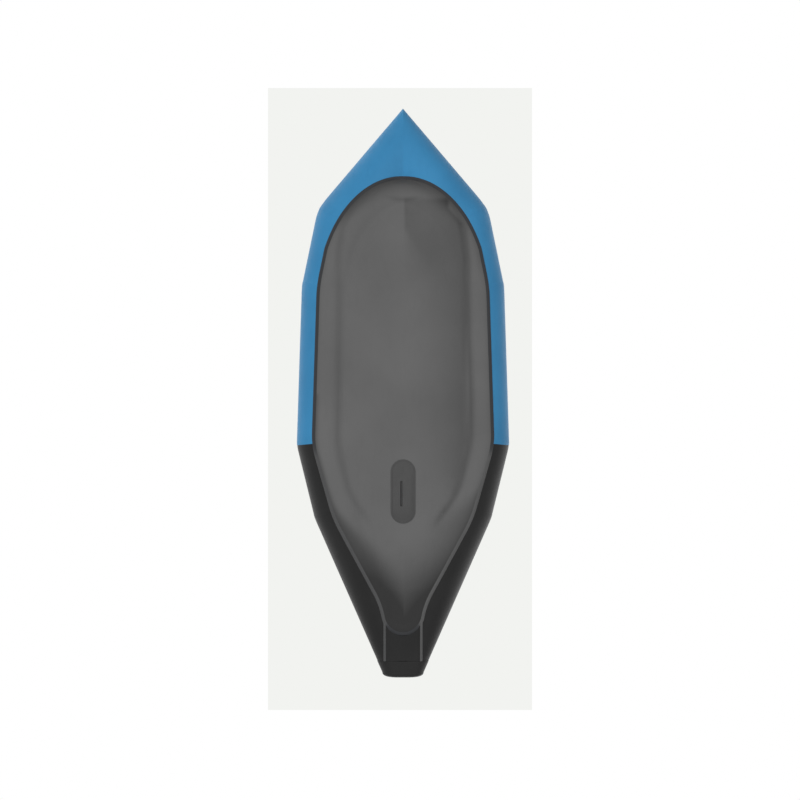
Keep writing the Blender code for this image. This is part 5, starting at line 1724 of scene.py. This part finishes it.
@dataclass
class Cushion:
    """An inflated or stuffed pad: crowned, with its sides drawn in and channels welded across."""

    name: str
    size: tuple[float, float, float]
    frame: Matrix
    fill: float
    channels: tuple[float, ...]
    swell: float
    body: str = "hull"
    voxel: float = 0.006
    frames: int = 20
    squareness: float = 6.0
    channel_depth: float = 0.007
    channel_width: float = 0.007

    def start(self) -> Mesh:
        """A closed form a little smaller than the finished pad."""
        across, deep, high = (length / 2 - 0.004 for length in self.size)
        rows = []
        for step in range(1, 24):
            tilt = math.pi * (step / 24 - 0.5)
            level = math.cos(tilt) ** 0.42
            z = high * math.copysign(abs(math.sin(tilt)) ** 0.75, tilt)
            row = []
            for t in turns_of(96):
                c, s = math.cos(t), math.sin(t)
                reach = square_reach(c, s, self.squareness)
                drawn = 1.0 - 0.035 * math.cos(2 * t) ** 2
                x, y = across * level * reach * c * drawn, deep * level * reach * s * drawn
                row.append(Vector((x, y, z)))
            rows.append(row)
        return skin(self.name, rows, caps=True)

    def inflate(self, piece: Object) -> None:
        """Swells the form as air or foam fills its cover, and keeps the result.

        Args:
            piece: The piece, with its mesh in the cushion's own frame.
        """
        remesh = piece.modifiers.new("remesh", "REMESH")
        remesh.mode = "VOXEL"
        remesh.voxel_size = self.voxel
        self.keep(piece)
        rest = [vertex.co.copy() for vertex in piece.data.vertices]
        cloth = piece.modifiers.new("cover", "CLOTH")
        cloth.settings.quality = 5
        cloth.settings.use_pressure = True
        cloth.settings.uniform_pressure_force = 4.0
        cloth.settings.tension_stiffness = 20.0
        cloth.settings.compression_stiffness = 10.0
        cloth.settings.bending_stiffness = 0.6
        cloth.settings.effector_weights.gravity = 0.0
        cloth.point_cache.frame_end = self.frames
        for number in range(1, self.frames + 1):
            bpy.context.scene.frame_set(number)
        self.keep(piece)
        bpy.context.scene.frame_set(1)
        for vertex, before in zip(piece.data.vertices, rest):
            move = vertex.co - before
            if move.length > self.swell:
                vertex.co = before + move.normalized() * self.swell

    def keep(self, piece: Object) -> None:
        """Applies the piece's modifiers to its mesh."""
        mesh = evaluated(piece)
        piece.modifiers.clear()
        piece.data = mesh

    def formed(self) -> Mesh:
        """The pad in its own frame: swollen, held to its size, with its channels."""
        piece = placed(self.name + "_form", self.start())
        self.inflate(piece)
        half = [length / 2 for length in self.size]
        for vertex in piece.data.vertices:
            point = vertex.co
            self.press(point, half)
            for axis in range(3):
                point[axis] = min(max(point[axis], -half[axis]), half[axis])
        rounding = piece.modifiers.new("round", "SUBSURF")
        rounding.levels = rounding.render_levels = 1
        self.keep(piece)
        mesh = piece.data
        bpy.data.objects.remove(piece, do_unlink=True)
        return mesh

    def dress(self, node: str) -> None:
        """Shows the pad in place of a node."""
        piece = show(self.name, self.formed(), CUSHION_FABRIC, self.frame, node, self.body, 180)

    def press(self, point: Vector, half: Sequence[float]) -> None:
        """Draws a point toward the middle where a channel is welded. Each cushion has its own."""
        raise NotImplementedError

    def flange(self, axis: int, reach: float) -> Mesh:
        """The welded edge that runs round the pad's sides.

        Args:
            axis: The axis that the edge lies level across.
            reach: How far the edge stands out of the size's outline.

        Returns:
            The mesh, in the cushion's own frame.
        """
        first, second = (k for k in range(3) if k != axis)
        rows = []
        for t in turns_of(160):
            c, s = math.cos(t), math.sin(t)
            grow = square_reach(c, s, self.squareness) * (1.0 - 0.030 * math.cos(2 * t) ** 2)
            row = []
            for out, thick in (
                (-0.010, 0.9), (-0.004, 0.9), (0.0, 0.5), (0.0, -0.5), (-0.004, -0.9), (-0.010, -0.9),
            ):
                point = Vector((0.0, 0.0, 0.0))
                point[first] = (self.size[first] / 2 + reach + out) * grow * c
                point[second] = (self.size[second] / 2 + reach + out) * grow * s
                point[axis] = thick * MM + 0.0015 * math.sin(11 * t)
                row.append(point)
            rows.append(row)
        return skin(self.name + "_flange", rows, wrap_rows=True)


@dataclass
class SeatCushion(Cushion):
    """The inflated seat, flat below where it rests on the floor."""

    valve: tuple[float, float] = (0.115, -0.110)
    channel_depth: float = 0.014
    channel_wave: float = 0.018
    hollow_depth: float = 0.012

    def press(self, point: Vector, half: Sequence[float]) -> None:
        """Cross channels on top, a hollow for the sitter, and a flat spot for the valve."""
        if point.z < -half[2] * 0.86:
            point.z = -half[2] + (point.z + half[2]) * 0.2
        if point.z > 0:
            share = point.z / half[2]
            for y in self.channels:
                wave = y + self.channel_wave * math.cos(point.x / half[0] * math.pi)
                point.z -= self.channel_depth * share * hump(point.y - wave, self.channel_width)
            hollow = hump(point.x, half[0] * 0.62) * hump(point.y - 0.01, half[1] * 0.62)
            point.z -= self.hollow_depth * share * hollow
            away = math.hypot(point.x - self.valve[0], point.y - self.valve[1])
            flat = smooth_step((0.030 - away) / 0.014) * smooth_step((share - 0.5) / 0.2)
            point.z += (half[2] - 0.0004 - point.z) * flat


@dataclass
class BackCushion(Cushion):
    """The foam backrest, with two channels across it."""

    def press(self, point: Vector, half: Sequence[float]) -> None:
        """Channels on both faces."""
        share = point.y / half[1]
        for z in self.channels:
            point.y -= self.channel_depth * share * hump(point.z - z, self.channel_width)


@dataclass
class Seat:
    """The seat, its valve, the backrest, and the straps that hold them."""

    hull: Hull
    strap_half: float = 0.0125
    strap_thickness: float = 0.002
    seat_middle: Vector = field(default_factory=lambda: Vector((0.0, 0.060, 0.05934)))
    seat_size: tuple[float, float, float] = (0.350, 0.340, 0.090)
    seat_channels: tuple[float, float] = (-0.045, 0.065)
    seat_fill: float = 0.8
    back_middle: Vector = field(default_factory=lambda: Vector((0.0, 0.280, 0.214)))
    back_size: tuple[float, float, float] = (0.330, 0.046, 0.190)
    back_channels: tuple[float, float] = (-0.032, 0.032)
    back_fill: float = 0.6
    back_lean: float = math.radians(10)
    valve_rise: float = 0.0453

    def build(self) -> None:
        """Makes the cushions, the valve and the straps."""
        frame = Matrix.Translation(self.seat_middle)
        cushion = SeatCushion(
            "seat_cushion_cover", self.seat_size, frame, self.seat_fill, self.seat_channels, swell=0.010,
        )
        cushion.dress("seat_cushion")
        show("seat_cushion_flange", cushion.flange(2, -0.002), CUSHION_FABRIC, frame)
        self.valve(frame @ Matrix.Translation((*cushion.valve, self.valve_rise)))
        frame = Matrix.Translation(self.back_middle) @ Matrix.Rotation(-self.back_lean, 4, "X")
        pad = BackCushion(
            "backrest_cover", self.back_size, frame, self.back_fill, self.back_channels, swell=0.006,
            body="backrest", voxel=0.005,
        )
        pad.dress("backrest")
        show("backrest_piping", pad.flange(1, -0.001), CUSHION_FABRIC, frame, body="backrest")
        for side in Side:
            self.strap(f"seat_strap_{side.word}", side, 0.060, (0.1765, 0.0293), 0.0893, 0.190)
            self.strap(f"backrest_strap_{side.word}", side, 0.280, (0.1665, 0.199), 0.244, 0.268)

    def valve(self, frame: Matrix) -> None:
        """The seat's push valve: stem and plug."""
        stem = [(3.4, 0.0), (11.6, 0.0), (12.0, 0.4), (12.0, 1.5), (11.5, 2.0), (6.6, 2.0), (6.0, 2.6),
                (6.0, 13.6), (5.6, 14.0), (3.4, 14.0)]
        show("seat_valve_moulding", turned("stem", stem), BLACK_NYLON, frame, node="seat_valve_stem")
        plug = [(2.6, 6.3), (3.1, 6.8), (3.1, 14.3), (8.1, 14.3), (8.5, 14.7), (8.5, 16.6), (8.0, 17.2),
                (4.0, 17.3)]
        mesh = turned("plug", plug, 96, False, lambda t, z: -0.0004 * (math.cos(18 * t) > 0 and z > 0.0145))
        show("seat_valve_plug_moulding", mesh, GREY_NYLON, frame, body="seat_valve_plug",
             node="seat_valve_plug")

    def strap(
        self, name: str, side: Side, y: float, low: tuple[float, float], first: float, last: float
    ) -> None:
        """Webbing between a cushion's side and the tube beside it, with its buckle and its tab.

        Args:
            name: The node that it stands for.
            side: Which side it is on.
            y: Where its middle lies along the boat.
            low: X and Z of its lower end.
            first: The height at which it meets the tube.
            last: The height at which it ends.
        """
        lines = []
        for edge_y in (y - self.strap_half, y + self.strap_half):
            line = [Vector((low[0], edge_y, low[1])), Vector((low[0], edge_y, low[1] + 0.030))]
            for step in range(13):
                z = first + (last - first) * step / 12
                hit, normal = self.hull.surface.ray_cast(Vector((0.0, edge_y, z)), Vector((1, 0, 0)))[:2]
                out = normal if normal.x < 0 else -normal
                line.append(hit + out * (self.strap_thickness / 2 + 0.0014))
            lines.append(line)
        edges = [tuple(side.mirrored(pair)) for pair in zip(*lines)]
        mesh = ribbon(name, edges, self.strap_thickness)
        show(name + "_web", mesh, BLACK_WEBBING, node=name)
        self.tab(name, edges)

    def tab(self, name: str, edges: Sequence[tuple[Vector, Vector]]) -> None:
        """The ladder buckle on a strap's upper end."""
        here, there = edges[-6], edges[-2]
        run = (there[0] - here[0]).normalized()
        across = (here[1] - here[0]).normalized()
        out = across.cross(run).normalized()
        middle = (here[0] + here[1]) / 2
        if out.x * middle.x > 0:
            out = -out
            across = -across
        frame = frame_of(across, run, out, middle + out * 0.0030)
        bars = [
            block("side", (2.6 * MM, 24 * MM, 3.4 * MM), (x * MM, 0, 0), 0.8 * MM)
            for x in (-15.2, 15.2)
        ]
        bars += [
            block("bar", (30 * MM, 3 * MM, 2.6 * MM), (0, y * MM, z * MM), 0.8 * MM)
            for y, z in ((-10.0, 0.2), (-1.0, 0.8), (10.0, 0.6))
        ]
        show(name + "_buckle", joined("buckle", bars), BLACK_NYLON, frame)


# Stage


@dataclass
class Stage:
    """The camera, the lamps, the pale floor, and the pale panel behind the raft."""

    scale: float = 2.600 / 569
    centre: tuple[float, float] = (403.0, 392.5)
    image: float = 800.0
    lens: float = 135.0
    plane: float = 0.185
    panel: tuple[float, float, float, float] = (268.0, 88.0, 532.0, 710.0)
    panel_height: float = 0.45
    panel_colour: str = "#f2f3f0"
    floor_colour: str = "#f1f1ee"
    floor_shade: str = "#eeeeeb"
    floor_half: float = 60.0
    floor_height: float = -0.0005
    surround: float = 0.28

    def build(self) -> None:
        """Makes the stage."""
        self.camera()
        self.lamps()
        self.world()
        self.floor()
        self.backdrop()
        bpy.context.scene.view_settings.view_transform = "Standard"

    def camera(self) -> None:
        """The camera, straight below and looking up, as far off as the frame needs."""
        data = bpy.data.cameras.new("camera")
        data.lens = self.lens
        data.clip_end = 200.0
        made = placed("camera", data)
        self.distance = self.image * self.scale * self.lens / data.sensor_width
        x, y = ((self.image / 2 - at) * self.scale for at in self.centre)
        made.location = (x, y, self.plane - self.distance)
        made.rotation_euler = (math.pi, 0.0, 0.0)
        bpy.context.scene.camera = made
        self.middle = Vector((x, y))

    def lamps(self) -> None:
        """Soft lamps: from below for the underside, and from above for the top."""
        lamps = (
            ("key_below", (-0.75, -0.30, -1.0), 1.85, 40),
            ("fill_below", (0.25, 0.0, -1.0), 0.80, 80),
            ("edge_port", (1.0, 0.1, -0.22), 0.55, 30),
            ("key_above", (-0.55, -0.45, 1.0), 1.75, 60),
            ("fill_above", (0.60, 0.50, 0.9), 0.55, 90),
        )
        for name, place, strength, angle in lamps:
            data = bpy.data.lights.new(name, "SUN")
            data.energy = strength
            data.angle = math.radians(angle)
            made = placed(name, data)
            made.rotation_euler = Vector(place).to_track_quat("Z", "Y").to_euler()
            made.visible_glossy = name.startswith("fill")

    def world(self) -> None:
        """A soft pale surround, white where it is seen."""
        world = bpy.data.worlds.new("surround")
        bpy.context.scene.world = world
        world.use_nodes = True
        tree = world.node_tree
        tree.nodes.clear()
        path = add_node(tree, "LightPath", {})
        seen = path.outputs["Is Camera Ray"]
        for name in ("Is Glossy Ray", "Is Transmission Ray"):
            seen = add_node(tree, "Math", {0: seen, 1: path.outputs[name]}, operation="MAXIMUM").outputs[0]
        dim = add_node(tree, "Background", {0: (1, 1, 1, 1), 1: self.surround})
        white = add_node(tree, "Background", {0: (1, 1, 1, 1), 1: 1.0})
        mixed = add_node(tree, "MixShader", {0: seen, 1: dim.outputs[0], 2: white.outputs[0]})
        add_node(tree, "OutputWorld", {0: mixed.outputs[0]})

    def level_plane(self, name: str, corners: Sequence[tuple[float, float]], z: float) -> NodeTree:
        """Makes a level stage plane.

        Args:
            name: The plane's name.
            corners: Its corners. It faces up if they run counter-clockwise from above.
            z: Its height.

        Returns:
            Its material's node tree, still empty.
        """
        mesh = bpy.data.meshes.new(name)
        mesh.from_pydata([(x, y, z) for x, y in corners], [], [[0, 1, 2, 3]])
        material = bpy.data.materials.new(name)
        material.use_nodes = True
        material.node_tree.nodes.clear()
        mesh.materials.append(material)
        placed(name, mesh)
        return material.node_tree

    def show_front(self, tree: NodeTree, surface: Node) -> None:
        """Shows a surface to the camera alone, and from its front alone."""
        path = add_node(tree, "LightPath", {})
        side = add_node(tree, "NewGeometry", {})
        front = add_node(tree, "Math", {0: 1.0, 1: side.outputs["Backfacing"]}, operation="SUBTRACT")
        both = {0: front.outputs[0], 1: path.outputs["Is Camera Ray"]}
        shown = add_node(tree, "Math", both, operation="MULTIPLY")
        clear = add_node(tree, "BsdfTransparent", {})
        inputs = {0: shown.outputs[0], 1: clear.outputs[0], 2: surface.outputs[0]}
        mixed = add_node(tree, "MixShader", inputs)
        add_node(tree, "OutputMaterial", {0: mixed.outputs[0]})

    def floor(self) -> None:
        """A pale floor, seen from above only, so that the camera below looks through it."""
        far = self.floor_half
        corners = ((-far, -far), (far, -far), (far, far), (-far, far))
        tree = self.level_plane("studio_floor", corners, self.floor_height)
        colours = {6: linear(self.floor_colour), 7: linear(self.floor_shade)}
        tint = add_node(tree, "Mix", {0: object_noise(tree, 400.0, 3.0), **colours}, data_type="RGBA")
        self.show_front(tree, add_node(tree, "BsdfDiffuse", {0: tint.outputs[2]}))

    def backdrop(self) -> None:
        """The pale panel that the photograph has behind the raft, seen from below only."""
        grow = (self.distance + self.panel_height - self.plane) / self.distance
        left, top, right, bottom = self.panel
        x0, x1 = (self.middle.x + (px - self.image / 2) * self.scale * grow for px in (left, right))
        y0, y1 = (self.middle.y + (py - self.image / 2) * self.scale * grow for py in (top, bottom))
        corners = ((x0, y0), (x0, y1), (x1, y1), (x1, y0))
        tree = self.level_plane("pale_panel", corners, self.panel_height)
        self.show_front(tree, add_node(tree, "Emission", {0: linear(self.panel_colour), 1: 1.0}))


def main() -> None:
    """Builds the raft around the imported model, piece by piece, and its stage."""
    logging.basicConfig(level=logging.INFO, format="%(message)s")
    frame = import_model()
    joints = {j["name"]: Vector(j["pos_m"]) for j in frame["joints"] if "pos_m" in j}
    Stage().build()
    hull = Hull()
    hull.build()
    Floor(hull).build()
    SkegPocket().build()
    patches = Patches(hull)
    TiePoints(hull, patches).build(joints)
    MainValve(hull, patches).build()
    MouthValve(hull, patches).build()
    Seat(hull).build()


if __name__ == "__main__":
    main()
